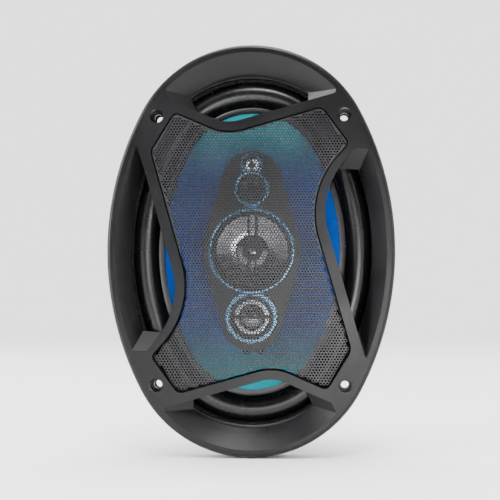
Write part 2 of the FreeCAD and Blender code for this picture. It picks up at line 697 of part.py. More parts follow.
def roll_section(section, shift, axis):
    """The surround's section: two flat lips and the half roll between them."""
    thick = cell("surround_thick")
    low = cell("flange_thick")
    high = low + thick
    outer_lip = cell("surround_lip_outer") - shift
    inner_lip = cell("surround_lip_inner") - shift
    middle = (cell("roll_outer") + cell("roll_inner")) * 0.5 - shift
    outer_size = (cell("roll_outer") - cell("roll_inner")) * 0.5
    inner_size = outer_size - thick
    centre = Vector(middle.value, low.value, 0)
    half = math.sqrt(outer_size.value ** 2 - thick.value ** 2)
    far_out = Vector(middle.value + half, high.value, 0)
    far_in = Vector(middle.value - half, high.value, 0)
    near_out = Vector(middle.value + inner_size.value, low.value, 0)
    near_in = Vector(middle.value - inner_size.value, low.value, 0)
    points = [Vector(outer_lip.value, low.value, 0), Vector(outer_lip.value, high.value, 0),
              far_out]
    back = [far_in, Vector(inner_lip.value, high.value, 0),
            Vector(inner_lip.value, low.value, 0), near_in]

    def line(first, last):
        return section.addGeometry(Part.LineSegment(first, last))

    edge_out = line(points[0], points[1])
    face_out = line(points[1], points[2])
    face_in = line(back[0], back[1])
    edge_in = line(back[1], back[2])
    rear_in = line(back[2], back[3])
    rear_out = line(near_out, points[0])
    whole = Part.Circle(centre, Vector(0, 0, 1), outer_size.value)
    lean = math.asin(thick.value / outer_size.value)
    crown = section.addGeometry(Part.ArcOfCircle(whole, lean, math.pi - lean))
    whole = Part.Circle(centre, Vector(0, 0, 1), inner_size.value)
    under = section.addGeometry(Part.ArcOfCircle(whole, 0, math.pi))
    for first, end, second, start in (
            (edge_out, 2, face_out, 1), (face_out, 2, crown, 1), (crown, 2, face_in, 1),
            (face_in, 2, edge_in, 1), (edge_in, 2, rear_in, 1), (rear_in, 2, under, 2),
            (under, 1, rear_out, 1), (rear_out, 2, edge_out, 1)):
        constrain(section, "Coincident", first, end, second, start)
    fix_point(section, crown, 3, middle, low)
    constrain(section, "Coincident", under, 3, crown, 3)
    constrain(section, "Radius", crown, size=outer_size)
    constrain(section, "Radius", under, size=inner_size)
    fix_point(section, edge_out, 1, outer_lip, low)
    fix_point(section, edge_out, 2, outer_lip, high)
    constrain(section, "Horizontal", face_out)
    fix_point(section, edge_in, 1, inner_lip, high)
    fix_point(section, edge_in, 2, inner_lip, low)
    constrain(section, "Horizontal", face_in)
    constrain(section, "Horizontal", rear_in)
    constrain(section, "Horizontal", rear_out)
    mark = section.addGeometry(
        Part.LineSegment(Vector(axis.value, 0, 0), Vector(axis.value, 10, 0)))
    section.setConstruction(mark, True)
    fix_point(section, mark, 1, axis, 0)
    fix_point(section, mark, 2, axis, 10)


def surround():
    """The half-roll surround: two end arcs and two side arcs, turned about their centres."""
    body = new_body("surround")
    join = "atan(sheet.cone_end_centre / sheet.cone_side_centre)"
    arcs = []
    for name, role, shift, axis, angle in (
            ("end", "YZ_Plane", as_size(0), cell("cone_end_centre"), f"180 deg - 2 * {join}"),
            ("side", "XZ_Plane", family_shift("cone"), -cell("cone_side_centre"),
             f"2 * {join}")):
        section = new_sketch(body, role, f"{name}_section")
        roll_section(section, shift, axis)
        arc = body.newObject("PartDesign::Revolution", f"{name}_arc")
        arc.Profile = section
        arc.ReferenceAxis = (section, ["Axis0"])
        arc.Midplane = True
        arc.setExpression("Angle", angle)
        arcs.append(arc)
    base = new_sketch(body, "XY_Plane", "surround_axis")
    circle(base, 1)
    half_turn(body, arcs, base, "arcs_turned")
    return stand(body, "surround")


def cone():
    """The oval cone: a shell from its glued rim down to the neck."""
    body = new_body("cone")
    thick = cell("cone_thick")
    high = cell("flange_thick")
    rim = new_sketch(body, "XY_Plane", "cone_rim", high - thick)
    oval(rim, "cone", cell("cone_rim_half_length"))
    oval(rim, "cone", cell("cone_half_length"))
    neck = cell("former_outer") + 0.05
    shells = []
    for name, kind, drop in (("back", "Additive", thick), ("front", "Subtractive", as_size(0))):
        upper = new_sketch(body, "XY_Plane", f"{name}_upper", high - drop)
        oval(upper, "cone", cell("cone_half_length") + drop)
        lower = new_sketch(body, "XY_Plane", f"{name}_lower", cell("cone_bottom") - drop)
        split_circle(lower, "cone", neck)
        shells.append(loft(body, kind, [upper, lower], f"{name}_skin"))
        if kind == "Additive":
            pad(body, rim, thick, "rim")
    hole = new_sketch(body, "XY_Plane", "neck_circle", cell("cone_bottom"))
    circle(hole, neck)
    pocket(body, hole, thick * 2, "neck")
    return stand(body, "cone")


def spider():
    """The corrugated spider: a thin disc whose section zigzags between its flats."""
    inner = cell("spider_inner")
    outer = cell("spider_outer")
    level = cell("spider_z")
    thick = cell("spider_thick")
    wave = cell("spider_wave")
    flat = 3
    waves = 6
    pitch = (outer - inner - 2 * flat) * (1 / (2 * waves))
    upper = [(inner, level + thick), (inner + flat, level + thick)]
    for step in range(1, 2 * waves):
        rise = wave if step % 2 else -wave
        upper.append((inner + flat + pitch * step, level + thick + rise))
    upper += [(outer - flat, level + thick), (outer, level + thick)]
    lower = [(radius, height - thick) for radius, height in reversed(upper)]
    return turned("spider", upper + lower)


def ring_of_cylinders(label, radius, height, low, circle_radius, count, turn):
    """Several equal cylinders on one circle, as one node."""
    links = []
    for i in range(count):
        angle = math.radians(turn + 360 / count * i)
        pin = doc.addObject("Part::Cylinder", f"{label}_{i}")
        pin.setExpression("Radius", as_size(radius).text)
        pin.setExpression("Height", as_size(height).text)
        pin.setExpression("Placement.Base.x", (circle_radius * math.cos(angle)).text)
        pin.setExpression("Placement.Base.y", (circle_radius * math.sin(angle)).text)
        pin.setExpression("Placement.Base.z", as_size(low).text)
        links.append(pin)
    group = doc.addObject("Part::Compound", label)
    group.Links = links
    return stand(group, label)


def rivet_places():
    """The x and y of the four rivets that hold the basket to the top plate."""
    half = cell("rivet_circle") * math.sqrt(0.5)
    return [(half, half), (-half, half), (-half, -half), (half, -half)]


def drill_rivets(body, high, depth):
    """Holes through a plate for the four basket rivets."""
    holes = new_sketch(body, "XY_Plane", "rivet_holes", high)
    for x, y in rivet_places():
        circle(holes, cell("rivet_radius"), x, y)
    pocket(body, holes, depth, "rivet_cuts")


def motor():
    """Top plate, ferrite magnet, T-shaped back plate with its pole, and cover."""
    bottom = cell("basket_bottom")
    plate_low = bottom - cell("top_plate_thick")
    magnet_low = plate_low - cell("magnet_thick")
    back = magnet_low - cell("back_plate_thick")
    top_plate = turned("top_plate", tube_profile(
        cell("top_plate_bore"), cell("plate_radius"), plate_low, bottom))
    drill_rivets(top_plate, bottom, cell("top_plate_thick"))
    turned("magnet", tube_profile(
        cell("magnet_bore"), cell("magnet_radius"), magnet_low, plate_low))
    pole = cell("pole_radius")
    bore = cell("pole_bore")
    sink = cell("bolt_pocket")
    sink_top = back + cell("bolt_head") + cell("bolt_sink")
    turned("back_plate", [
        (bore, bottom), (pole, bottom), (pole, magnet_low), (cell("plate_radius"), magnet_low),
        (cell("plate_radius"), back), (sink, back), (sink, sink_top), (bore, sink_top)])
    inner = cell("cover_inner")
    outer = cell("cover_outer")
    turned("magnet_cover", [
        (inner, cell("cover_front")), (outer, cell("cover_front")),
        (outer, cell("cover_back")), (cell("cover_window"), cell("cover_back")),
        (cell("cover_window"), back), (inner, back)])
    ring_of_cylinders("basket_rivets", cell("rivet_radius"),
                      cell("top_plate_thick") + cell("basket_wall") + cell("rivet_head"),
                      plate_low, cell("rivet_circle"), 4, 45)


def moving_coil():
    """The former, its winding and the black collar on the former's end."""
    inner = cell("former_inner")
    outer = cell("former_outer")
    top = cell("cone_bottom") + cell("cone_thick")
    turned("voice_coil_former", tube_profile(inner, outer, cell("former_bottom"), top))
    turned("voice_coil_winding", tube_profile(
        outer, cell("coil_outer"), cell("former_bottom"), cell("coil_top")))
    hole = cell("collar_inner")
    thick = cell("collar_thick")
    edge = outer + cell("collar_lap")
    crest = hole + cell("collar_run")
    raised = top + cell("collar_rise")
    turned("dust_collar", [
        (edge, top), (edge, top + thick), (crest, raised), (hole, raised + thick),
        (hole, raised), (crest, raised - thick), (outer - cell("collar_seat"), top)])


def pod_outline(sketch):
    """The pod's boat shape: a wide middle circle and two end circles, joined by tangents."""
    middle = cell("pod_middle_radius")
    end = cell("pod_end_radius")
    reach = cell("pod_end_centre")
    lean = math.asin((middle.value - end.value) / reach.value)

    def arc(y, radius, start, stop):
        whole = Part.Circle(Vector(0, y, 0), Vector(0, 0, 1), radius.value)
        return sketch.addGeometry(Part.ArcOfCircle(whole, start, stop))

    right = arc(0, middle, -lean, lean)
    top = arc(reach.value, end, lean, math.pi - lean)
    left = arc(0, middle, math.pi - lean, math.pi + lean)
    low = arc(-reach.value, end, math.pi + lean, 2 * math.pi - lean)
    order = [right, top, left, low]
    for first, second in zip(order, order[1:] + order[:1]):
        start = sketch.getPoint(first, 2)
        stop = sketch.getPoint(second, 1)
        side = sketch.addGeometry(Part.LineSegment(start, stop))
        constrain(sketch, "Tangent", first, 2, side, 1)
        constrain(sketch, "Tangent", side, 2, second, 1)
    constrain(sketch, "Coincident", right, 3, -1, 1)
    constrain(sketch, "Coincident", left, 3, -1, 1)
    constrain(sketch, "Radius", right, size=middle)
    constrain(sketch, "Radius", left, size=middle)
    fix_point(sketch, top, 3, 0, reach)
    fix_point(sketch, low, 3, 0, -reach)
    constrain(sketch, "Radius", top, size=end)
    constrain(sketch, "Radius", low, size=end)


def driver_circles(sketch, play):
    """One circle for each of the four drivers in the pod."""
    circle(sketch, cell("mid_cup") + play)
    for name in ("tweeter", "large", "small"):
        circle(sketch, cell(f"{name}_cup") + play, 0, cell(f"{name}_y"))


def pod():
    """The pod: hull with its hub, face plate, post and bolt."""
    face = cell("pod_face")
    seam = face - cell("pod_plate")
    back = cell("pod_back")
    hub_tip = cell("hub_tip")
    base = new_body("pod_base")
    outline = new_sketch(base, "XY_Plane", "hull_outline", seam)
    pod_outline(outline)
    hull = pad(base, outline, seam - back, "hull")
    hull.Reversed = True
    hull.TaperAngle = cell("hull_taper").value
    hub = new_sketch(base, "XZ_Plane", "hub_profile")
    polygon(hub, [(0, hub_tip), (cell("hub_tip_radius"), hub_tip),
                  (cell("hub_radius"), back), (0, back)])
    solid = base.newObject("PartDesign::Revolution", "hub")
    solid.Profile = hub
    solid.ReferenceAxis = (hub, ["V_Axis"])
    solid.Angle = 360
    play = cell("driver_play")
    for name in ("mid", "tweeter", "large", "small"):
        room = new_sketch(base, "XY_Plane", f"{name}_room", seam)
        along = 0 if name == "mid" else cell(f"{name}_y")
        circle(room, cell(f"{name}_cup") + play, 0, along)
        pocket(base, room, seam - cell(f"{name}_room_floor"), f"{name}_cut")
    motor_room = new_sketch(base, "XY_Plane", "mid_motor_room", seam)
    circle(motor_room, cell("mid_motor_room"))
    pocket(base, motor_room, seam - cell("mid_motor_floor"), "mid_motor_cut")
    stand(base, "pod_base")

    plate = new_body("pod_face")
    outline = new_sketch(plate, "XY_Plane", "face_outline", seam)
    pod_outline(outline)
    driver_circles(outline, play)
    pad(plate, outline, cell("pod_plate"), "plate")
    stand(plate, "pod_face")

    radius = cell("post_radius")
    bottom = cell("basket_bottom")
    bore = cell("post_bore")
    deep = bottom + cell("post_bore_depth")
    turned("pod_post", [
        (bore, bottom), (radius, bottom), (radius, cell("post_flare_z")),
        (cell("post_flare"), hub_tip), (0, hub_tip), (0, deep), (bore, deep)])

    bolt = new_body("pod_bolt")
    back_face = (bottom - cell("top_plate_thick") - cell("magnet_thick")
                 - cell("back_plate_thick"))
    head_low = back_face + cell("bolt_sink")
    head = new_sketch(bolt, "XY_Plane", "bolt_head", head_low)
    corner = cell("bolt_across") * (1 / math.sqrt(3))
    polygon(head, [(corner * math.cos(math.radians(60 * i)),
                    corner * math.sin(math.radians(60 * i))) for i in range(6)])
    pad(bolt, head, cell("bolt_head"), "head")
    shank = new_sketch(bolt, "XY_Plane", "bolt_shank", head_low)
    circle(shank, cell("bolt_radius"))
    pad(bolt, shank, deep - head_low - cell("bolt_end_room"), "shank")
    stand(bolt, "pod_bolt")


def trim_ring_profile(inner, outer):
    """The corners of a raised trim ring with bevelled edges."""
    low = cell("pod_face")
    high = cell("trim_top")
    bevel = cell("trim_bevel")
    return [(inner, low), (outer, low), (outer, high - bevel), (outer - bevel, high),
            (inner + bevel, high), (inner, high - bevel)]


def clear_of(ring, name, radius, along):
    """Cut a ring where a neighbour's circle overlaps it."""
    cut = new_sketch(ring, "XY_Plane", name, cell("trim_top"))
    circle(cut, radius, 0, along)
    pocket(ring, cut, cell("trim_clear_depth"), f"{name}_cut")


def driver_trims():
    """The four raised rings; the larger ring of each touching pair stays whole."""
    play = cell("driver_play")
    turned("mid_trim", trim_ring_profile(cell("mid_cup") + play, cell("mid_trim")))
    for name in ("tweeter", "large", "small"):
        ring = turned(f"{name}_trim", trim_ring_profile(
            cell(f"{name}_cup") + play, cell(f"{name}_trim")), cell(f"{name}_y"))
        if name == "tweeter":
            clear_of(ring, "mid_neighbour", cell("mid_trim") + play, -cell("tweeter_y"))
        if name == "small":
            clear_of(ring, "large_neighbour", cell("large_trim") + play,
                     cell("large_y") - cell("small_y"))


def mid_driver():
    """The midrange: funnel, dish, coil, magnet, pole piece, yoke and guard bar."""
    cup = cell("mid_cup")
    face = cell("pod_face")
    floor = cell("funnel_floor")
    floor_top = cell("funnel_floor_top")
    hole = cell("funnel_floor_inner")
    turned("mid_funnel", [
        (cup - cell("funnel_wall"), face), (cup, face), (cup, floor), (hole, floor),
        (hole, floor_top), (cup - cell("funnel_floor_wall"), floor_top)])
    turned("mid_dish", MID_DISH_SECTION)
    coil_top = cell("mid_coil_top")
    turned("mid_coil", tube_profile(
        cell("mid_coil_inner"), cell("mid_coil_outer"), cell("mid_coil_bottom"), coil_top))
    magnet_low = cell("mid_magnet_bottom")
    magnet_top = cell("mid_magnet_top")
    turned("mid_magnet", tube_profile(0, cell("mid_magnet_radius"), magnet_low, magnet_top))
    pole_top = cell("mid_pole_top")
    turned("mid_pole", tube_profile(0, cell("mid_pole_radius"), magnet_top, pole_top))
    outer = cell("mid_yoke_outer")
    inner = cell("mid_yoke_inner")
    low = cell("mid_yoke_bottom")
    turned("mid_yoke", [(0, low), (outer, low), (outer, pole_top), (inner, pole_top),
                        (inner, magnet_low), (0, magnet_low)])
    bar = new_body("mid_guard_bar")
    struts = new_sketch(bar, "XY_Plane", "struts_outline", cell("guard_level"))
    near = cell("guard_inner")
    far = cell("guard_outer")
    reach = cell("guard_half_length")
    box(struts, near, far, -reach, reach)
    box(struts, -far, -near, -reach, reach)
    pad(bar, struts, cell("guard_thick"), "struts")
    hub_low = cell("guard_hub_level")
    hub_thick = cell("guard_hub_thick")
    hub = new_sketch(bar, "XY_Plane", "hub_outline", hub_low)
    circle(hub, cell("guard_hub"))
    pad(bar, hub, hub_thick, "hub")
    bore = new_sketch(bar, "XY_Plane", "hub_hole", hub_low + hub_thick)
    circle(bore, cell("guard_hole"))
    pocket(bar, bore, hub_thick, "hub_bore")
    stand(bar, "mid_guard_bar")


def tweeter():
    """The dome tweeter: cup, dome, coil, magnet, pole piece, yoke and bar."""
    along = cell("tweeter_y")
    cup = cell("tweeter_cup")
    face = cell("pod_face")
    bottom = cell("tweeter_cup_bottom")
    seat_radius = cell("tweeter_seat_radius")
    seat = cell("tweeter_seat")
    lip = cell("tweeter_lip_inner")
    ledge = cell("tweeter_ledge")
    turned("tweeter_cup", [
        (cup - cell("tweeter_wall"), face), (cup, face), (cup, bottom),
        (seat_radius, bottom), (seat_radius, seat), (lip, seat),
        (lip, cell("tweeter_lip_top")), (ledge, cell("tweeter_ledge_low")),
        (ledge, cell("tweeter_ledge_top"))], along)
    turned("tweeter_dome", TWEETER_DOME_SECTION, along)
    turned("tweeter_coil", tube_profile(
        cell("tweeter_coil_inner"), cell("tweeter_coil_outer"),
        cell("tweeter_coil_bottom"), cell("tweeter_coil_top")), along)
    magnet_low = cell("tweeter_magnet_bottom")
    magnet_top = cell("tweeter_magnet_top")
    turned("tweeter_magnet", tube_profile(
        0, cell("tweeter_magnet_radius"), magnet_low, magnet_top), along)
    turned("tweeter_pole", tube_profile(
        0, cell("tweeter_pole_radius"), magnet_top, cell("tweeter_pole_top")), along)
    outer = cell("tweeter_yoke_outer")
    inner = cell("tweeter_yoke_inner")
    low = cell("tweeter_yoke_bottom")
    high = cell("tweeter_yoke_top")
    turned("tweeter_yoke", [(0, low), (outer, low), (outer, high), (inner, high),
                            (inner, magnet_low), (0, magnet_low)], along)
    bar = new_body("tweeter_bar")
    strut = new_sketch(bar, "XY_Plane", "strut_outline", cell("tweeter_bar_level"))
    reach = cell("tweeter_bar_half_length")
    half = cell("tweeter_bar_half_width")
    box(strut, -reach, reach, -half, half)
    pad(bar, strut, cell("tweeter_bar_thick"), "strut")
    stand(bar, "tweeter_bar", along)


def super_tweeter(name):
    """A piezo super tweeter: cup, silver horn and the black element in its middle."""
    along = cell(f"{name}_y")
    cup = cell(f"{name}_cup")
    face = cell("pod_face")
    core = cell(f"{name}_element")
    low = cell("super_bottom")
    floor = cell("super_floor")
    turned(f"{name}_cup", [
        (0, low), (cup, low), (cup, face), (cup - cell("super_wall"), face),
        (cup - cell("super_wall_low"), floor), (0, floor)], along)
    foot = cell("horn_bottom")
    rim = cup - cell("horn_gap")
    turned(f"{name}_horn", [
        (core, foot), (core + cell("horn_foot"), foot), (rim, cell("horn_rim")),
        (rim, cell("horn_rim_top")), (core, cell("horn_throat_top"))], along)
    turned(f"{name}_element", tube_profile(0, core, floor, cell("element_top")), along)


def terminals():
    """The terminal board on the cup, two blades and their rivets."""
    board_x = cell("board_x")
    thick = cell("board_thick")
    half = cell("board_half_width")
    board = new_body("terminal_board")
    face = new_sketch(board, "YZ_Plane", "board_outline", board_x)
    low = cell("board_low")
    high = cell("board_top")
    box(face, -half, half, low, high)
    pad(board, face, thick, "board")
    stand(board, "terminal_board")
    outside = board_x + thick
    for label, width, side in (("positive_blade", cell("wide_blade"), 1),
                               ("negative_blade", cell("narrow_blade"), -1)):
        blade = new_body(label)
        middle = cell("blade_spread") * side
        shape = new_sketch(blade, "YZ_Plane", f"{label}_outline", outside)
        edge = width * 0.5
        tip = cell("blade_tip")
        top = high - cell("blade_top_drop")
        shoulder = tip + cell("blade_corner_rise")
        corner = cell("blade_corner_run")
        polygon(shape, [
            (middle - edge, top), (middle - edge, shoulder), (middle - edge + corner, tip),
            (middle + edge - corner, tip), (middle + edge, shoulder), (middle + edge, top)])
        pad(blade, shape, cell("blade_thick"), f"{label}_strip")
        stand(blade, label)
    heads = []
    for side in (1, -1):
        head = doc.addObject("Part::Cylinder", f"terminal_rivet_{side + 1}")
        head.setExpression("Radius", cell("blade_rivet_radius").text)
        head.setExpression("Height", cell("blade_rivet_height").text)
        head.Placement = FreeCAD.Placement(
            Vector(0, 0, 0), Rotation(Vector(0, 1, 0), 90))
        head.setExpression("Placement.Base.x", (outside + cell("blade_thick")).text)
        head.setExpression("Placement.Base.y", (cell("blade_spread") * side).text)
        head.setExpression("Placement.Base.z", (high - cell("blade_rivet_drop")).text)
        heads.append(head)
    rivets = doc.addObject("Part::Compound", "terminal_rivets")
    rivets.Links = heads
    stand(rivets, "terminal_rivets")


def eyelets(label, places, lift):
    """Small glued discs that lie flat on the cone, each at (x, y) and tilted with it."""
    discs = []
    for i, (x, y, z, axis, tilt) in enumerate(places):
        disc = doc.addObject("Part::Cylinder", f"{label}_{i}")
        disc.setExpression("Radius", "sheet.eyelet_radius")
        disc.setExpression("Height", "sheet.eyelet_height")
        turn = Rotation(axis, tilt)
        disc.Placement = FreeCAD.Placement(
            Vector(x, y, z) + turn.multVec(Vector(0, 0, lift)), turn)
        discs.append(disc)
    group = doc.addObject("Part::Compound", label)
    group.Links = discs
    return stand(group, label)


def cone_height(x, y):
    """The height of the cone's front face above a point on one of its axes."""
    high = cell("flange_thick").value
    low = cell("cone_bottom").value
    neck = cell("former_outer").value + 0.05
    edge = cell("cone_half_length").value
    if x:
        edge -= family_shift("cone").value
    reach = abs(x) + abs(y)
    return low + (reach - neck) / (edge - neck) * (high - low)


def lead(label, routes, radius):
    """Thin leads, each a run of straight pieces joined by tangent arcs."""
    radius = cell(radius).value
    solids = []
    for route in routes:
        points = [Vector(*point) for point in route]
        edges = []
        start = points[0]
        for before, corner, after in zip(points, points[1:], points[2:]):
            into = (corner - before)
            out = (after - corner)
            angle = into.getAngle(out)
            bend = 0.45 * min(into.Length, out.Length) / math.tan(angle / 2)
            cut = bend * math.tan(angle / 2)
            first = corner - into.normalize() * cut
            last = corner + out.normalize() * cut
            inward = (out - into).normalize()
            middle = corner + inward * (bend / math.cos(angle / 2) - bend)
            edges.append(Part.LineSegment(start, first).toShape())
            edges.append(Part.Arc(first, middle, last).toShape())
            start = last
            print(f"{label} bend radius {bend:.1f}")
        edges.append(Part.LineSegment(start, points[-1]).toShape())
        path = Part.Wire(edges)
        direction = (points[1] - points[0]).normalize()
        ring = Part.Wire(Part.makeCircle(radius, points[0], direction))
        tube = path.makePipeShell([ring], True, False)
        solids.append(tube)
    feature = doc.addObject("Part::Feature", label)
    feature.Shape = Part.makeCompound(solids)
    return stand(feature, label)


def leads():
    """The flexible leads to the cone and to the pod, and what they are glued to."""
    slope_y = math.degrees(math.atan2(
        cone_height(0, 70) - cone_height(0, 60), 10))
    slope_x = math.degrees(math.atan2(
        cone_height(40, 0) - cone_height(30, 0), 10))
    pod_spots = [(side * 4.5, -61, cone_height(0, -61), Vector(1, 0, 0), -slope_y)
                 for side in (-1, 1)]
    eyelets("pod_lead_glue", pod_spots, 0.6)
    back_spots = [(34, side * 7, cone_height(34, 0), Vector(0, 1, 0), 180 - slope_x)
                  for side in (-1, 1)]
    eyelets("lead_eyelets", back_spots, 1.7)
    glue = cone_height(0, -61) + 2.9
    lead("pod_leads", [[(side * 2.5, -47, -2.6), (side * 2.5, -47.2, -5.6),
                        (side * 2.8, -49.4, -8), (side * 3.4, -53, -8.6),
                        (side * 4.1, -57, -7.4), (side * 4.5, -60.4, glue)]
                       for side in (-1, 1)], "pod_lead_radius")
    low = cone_height(34, 0) - 3.7
    lead("cone_leads", [[(45.1, side * 7, -44.6), (48.4, side * 7, -44.2),
                         (51.8, side * 6.9, -41.5), (53.6, side * 6.8, -37),
                         (53, side * 6.8, -32), (49.5, side * 6.8, -27.5),
                         (44, side * 6.9, -23.2), (39, side * 7, -19.8),
                         (35, side * 7, low)]
                        for side in (-1, 1)], "lead_radius")


def write_parts():
    """Check every object and shape, then write one STEP file for each piece."""
    doc.recompute()
    failed = [item.Name for item in doc.Objects
              if "Invalid" in item.State or "Error" in item.State]
    if failed:
        raise RuntimeError(f"objects that failed: {failed}")
    for piece in pieces:
        if piece.Shape.isNull() or not piece.Shape.isValid():
            raise RuntimeError(f"bad shape: {piece.Label}")
    os.makedirs("parts", exist_ok=True)
    for piece in pieces:
        piece.Shape.exportStep(os.path.join("parts", f"{piece.Label}.step"))
        volume = piece.Shape.Volume / 1000
        print(f"{piece.Label}: {len(piece.Shape.Solids)} solids, {volume:.2f} cm3")


grille_frame()
grille_mesh()
trim_ring()
basket()
surround()
cone()
spider()
motor()
moving_coil()
pod()
driver_trims()
mid_driver()
tweeter()
super_tweeter("large")
super_tweeter("small")
terminals()
leads()
write_parts()
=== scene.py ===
import json
import math

import bmesh
import bpy
import numpy as np
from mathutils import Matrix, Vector, geometry


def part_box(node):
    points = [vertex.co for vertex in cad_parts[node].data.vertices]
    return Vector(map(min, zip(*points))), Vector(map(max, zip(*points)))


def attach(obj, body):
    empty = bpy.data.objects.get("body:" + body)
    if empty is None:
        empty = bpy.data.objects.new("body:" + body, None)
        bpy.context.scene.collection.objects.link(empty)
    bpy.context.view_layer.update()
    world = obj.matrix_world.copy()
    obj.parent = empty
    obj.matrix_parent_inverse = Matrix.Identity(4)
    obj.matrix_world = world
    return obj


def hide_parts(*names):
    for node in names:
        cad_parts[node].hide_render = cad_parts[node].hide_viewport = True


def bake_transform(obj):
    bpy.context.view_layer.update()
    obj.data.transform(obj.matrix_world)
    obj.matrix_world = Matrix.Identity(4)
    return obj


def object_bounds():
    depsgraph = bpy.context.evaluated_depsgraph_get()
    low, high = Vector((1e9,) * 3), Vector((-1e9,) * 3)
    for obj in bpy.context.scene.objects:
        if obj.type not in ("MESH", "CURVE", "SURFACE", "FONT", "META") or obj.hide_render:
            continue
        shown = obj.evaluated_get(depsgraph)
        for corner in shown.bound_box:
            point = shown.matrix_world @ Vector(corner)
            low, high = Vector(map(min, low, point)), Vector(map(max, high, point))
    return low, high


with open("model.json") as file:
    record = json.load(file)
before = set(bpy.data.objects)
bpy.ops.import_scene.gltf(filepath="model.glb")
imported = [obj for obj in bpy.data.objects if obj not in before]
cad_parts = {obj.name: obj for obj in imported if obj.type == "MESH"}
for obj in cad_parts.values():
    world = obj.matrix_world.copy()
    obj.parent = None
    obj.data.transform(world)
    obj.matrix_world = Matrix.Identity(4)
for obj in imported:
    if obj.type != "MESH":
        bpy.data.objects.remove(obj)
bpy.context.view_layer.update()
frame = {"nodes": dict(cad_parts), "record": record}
nodes = frame["nodes"]
record = frame["record"]
slot_of = {part["node"]: part["material_slot"] for part in record["subparts"]}
body_of = {node: body for body, members in record["behaviour"]["bodies"].items()
           for node in members}

MM = 0.001
AROUND = 256

# Distances in metres under which mesh corners count as one
SAME_SPOT = 1e-7
CAD_WELD = 2e-6
SHORT_EDGE = 1e-6

# The inner oval family, whose size is its half length, and the cone, in millimetres
END_CENTRE = 42
SIDE_CENTRE = 70.9
CONE_SIZE = 84
CONE_RIM_SIZE = 86.8
CONE_TOP = 1.5
CONE_DROP = 31.5
CONE_THICK = 0.8
CONE_LEDGE = 0.3
NECK_RADIUS = 13.05


# ---------------------------------------------------------------- materials

COAT_ROUGH = 0.06
BROAD_SCALE = 35
BROAD_DETAIL = 3
GRAIN_DETAIL = 3
CLOTH_SHEEN = 0.25
# Share of the cloth colour left in the weave's gaps: painted shade
CLOTH_GAP_SHADE = 0.55


def new_material(name):
    """A new material with its node tree and shader."""
    material = bpy.data.materials.new(name)
    material.use_nodes = True
    tree = material.node_tree
    return material, tree, tree.nodes["Principled BSDF"]


def noise(tree, scale, detail, stretch=(1, 1, 1)):
    """A noise texture in the object's own coordinates."""
    coords = tree.nodes.new("ShaderNodeTexCoord")
    mapping = tree.nodes.new("ShaderNodeMapping")
    mapping.inputs["Scale"].default_value = stretch
    texture = tree.nodes.new("ShaderNodeTexNoise")
    texture.inputs["Scale"].default_value = scale
    texture.inputs["Detail"].default_value = detail
    tree.links.new(coords.outputs["Object"], mapping.inputs["Vector"])
    tree.links.new(mapping.outputs["Vector"], texture.inputs["Vector"])
    return texture


def span(tree, source, low, high):
    """The source's 0.3 to 0.7 range mapped to low..high."""
    ranges = tree.nodes.new("ShaderNodeMapRange")
    ranges.inputs["From Min"].default_value = 0.3
    ranges.inputs["From Max"].default_value = 0.7
    ranges.inputs["To Min"].default_value = low
    ranges.inputs["To Max"].default_value = high
    tree.links.new(source, ranges.inputs["Value"])
    return ranges.outputs["Result"]


def add_bump(tree, shader, height, depth):
    """Fine relief, `depth` metres high."""
    bump = tree.nodes.new("ShaderNodeBump")
    bump.inputs["Distance"].default_value = depth
    tree.links.new(height, bump.inputs["Height"])
    tree.links.new(bump.outputs["Normal"], shader.inputs["Normal"])


def mix_colours(tree, shader, factor, low, high):
    """The shader's colour goes from low to high with the factor."""
    mix = tree.nodes.new("ShaderNodeMix")
    mix.data_type = "RGBA"
    mix.inputs["A"].default_value = (*low, 1)
    mix.inputs["B"].default_value = (*high, 1)
    tree.links.new(factor, mix.inputs["Factor"])
    tree.links.new(mix.outputs["Result"], shader.inputs["Base Color"])


def finish_material(name, colour, rough, grain, depth, metallic=0, coat=0,
                    uneven=0.06, stretch=(1, 1, 1), tint=0.12, specular=0.5):
    """A surface whose colour and roughness vary a little, with a fine grain.

    Colour varies by the share `tint` and roughness by `uneven`, in broad patches.
    `grain` is the relief's scale and `depth` its height in metres.
    """
    material, tree, shader = new_material(name)
    shader.inputs["Metallic"].default_value = metallic
    shader.inputs["Specular IOR Level"].default_value = specular
    shader.inputs["Coat Weight"].default_value = coat
    shader.inputs["Coat Roughness"].default_value = COAT_ROUGH
    broad = noise(tree, BROAD_SCALE, BROAD_DETAIL).outputs["Fac"]
    tree.links.new(span(tree, broad, rough - uneven, rough + uneven),
                   shader.inputs["Roughness"])
    dark = [c * (1 - tint) for c in colour]
    light = [min(1.0, c * (1 + tint)) for c in colour]
    mix_colours(tree, shader, span(tree, broad, 0, 1), dark, light)
    fine = noise(tree, grain, GRAIN_DETAIL, stretch).outputs["Fac"]
    add_bump(tree, shader, fine, depth)
    return material


def weave(name, colour, rough, count, depth):
    """Woven cloth: two crossed sets of fine waves, with painted shade in the gaps."""
    material, tree, shader = new_material(name)
    shader.inputs["Roughness"].default_value = rough
    shader.inputs["Sheen Weight"].default_value = CLOTH_SHEEN
    coords = tree.nodes.new("ShaderNodeTexCoord")
    waves = []
    for direction in ("X", "Z"):
        wave = tree.nodes.new("ShaderNodeTexWave")
        wave.bands_direction = direction
        wave.inputs["Scale"].default_value = count
        tree.links.new(coords.outputs["Object"], wave.inputs["Vector"])
        waves.append(wave.outputs["Fac"])
    both = tree.nodes.new("ShaderNodeMath")
    both.operation = "MULTIPLY"
    for wave, socket in zip(waves, both.inputs):
        tree.links.new(wave, socket)
    height = both.outputs["Value"]
    add_bump(tree, shader, height, depth)
    # Painted shade: the colour is darker where the relief is low, in the gaps between threads
    gaps = [c * CLOTH_GAP_SHADE for c in colour]
    mix_colours(tree, shader, height, gaps, colour)
    return material


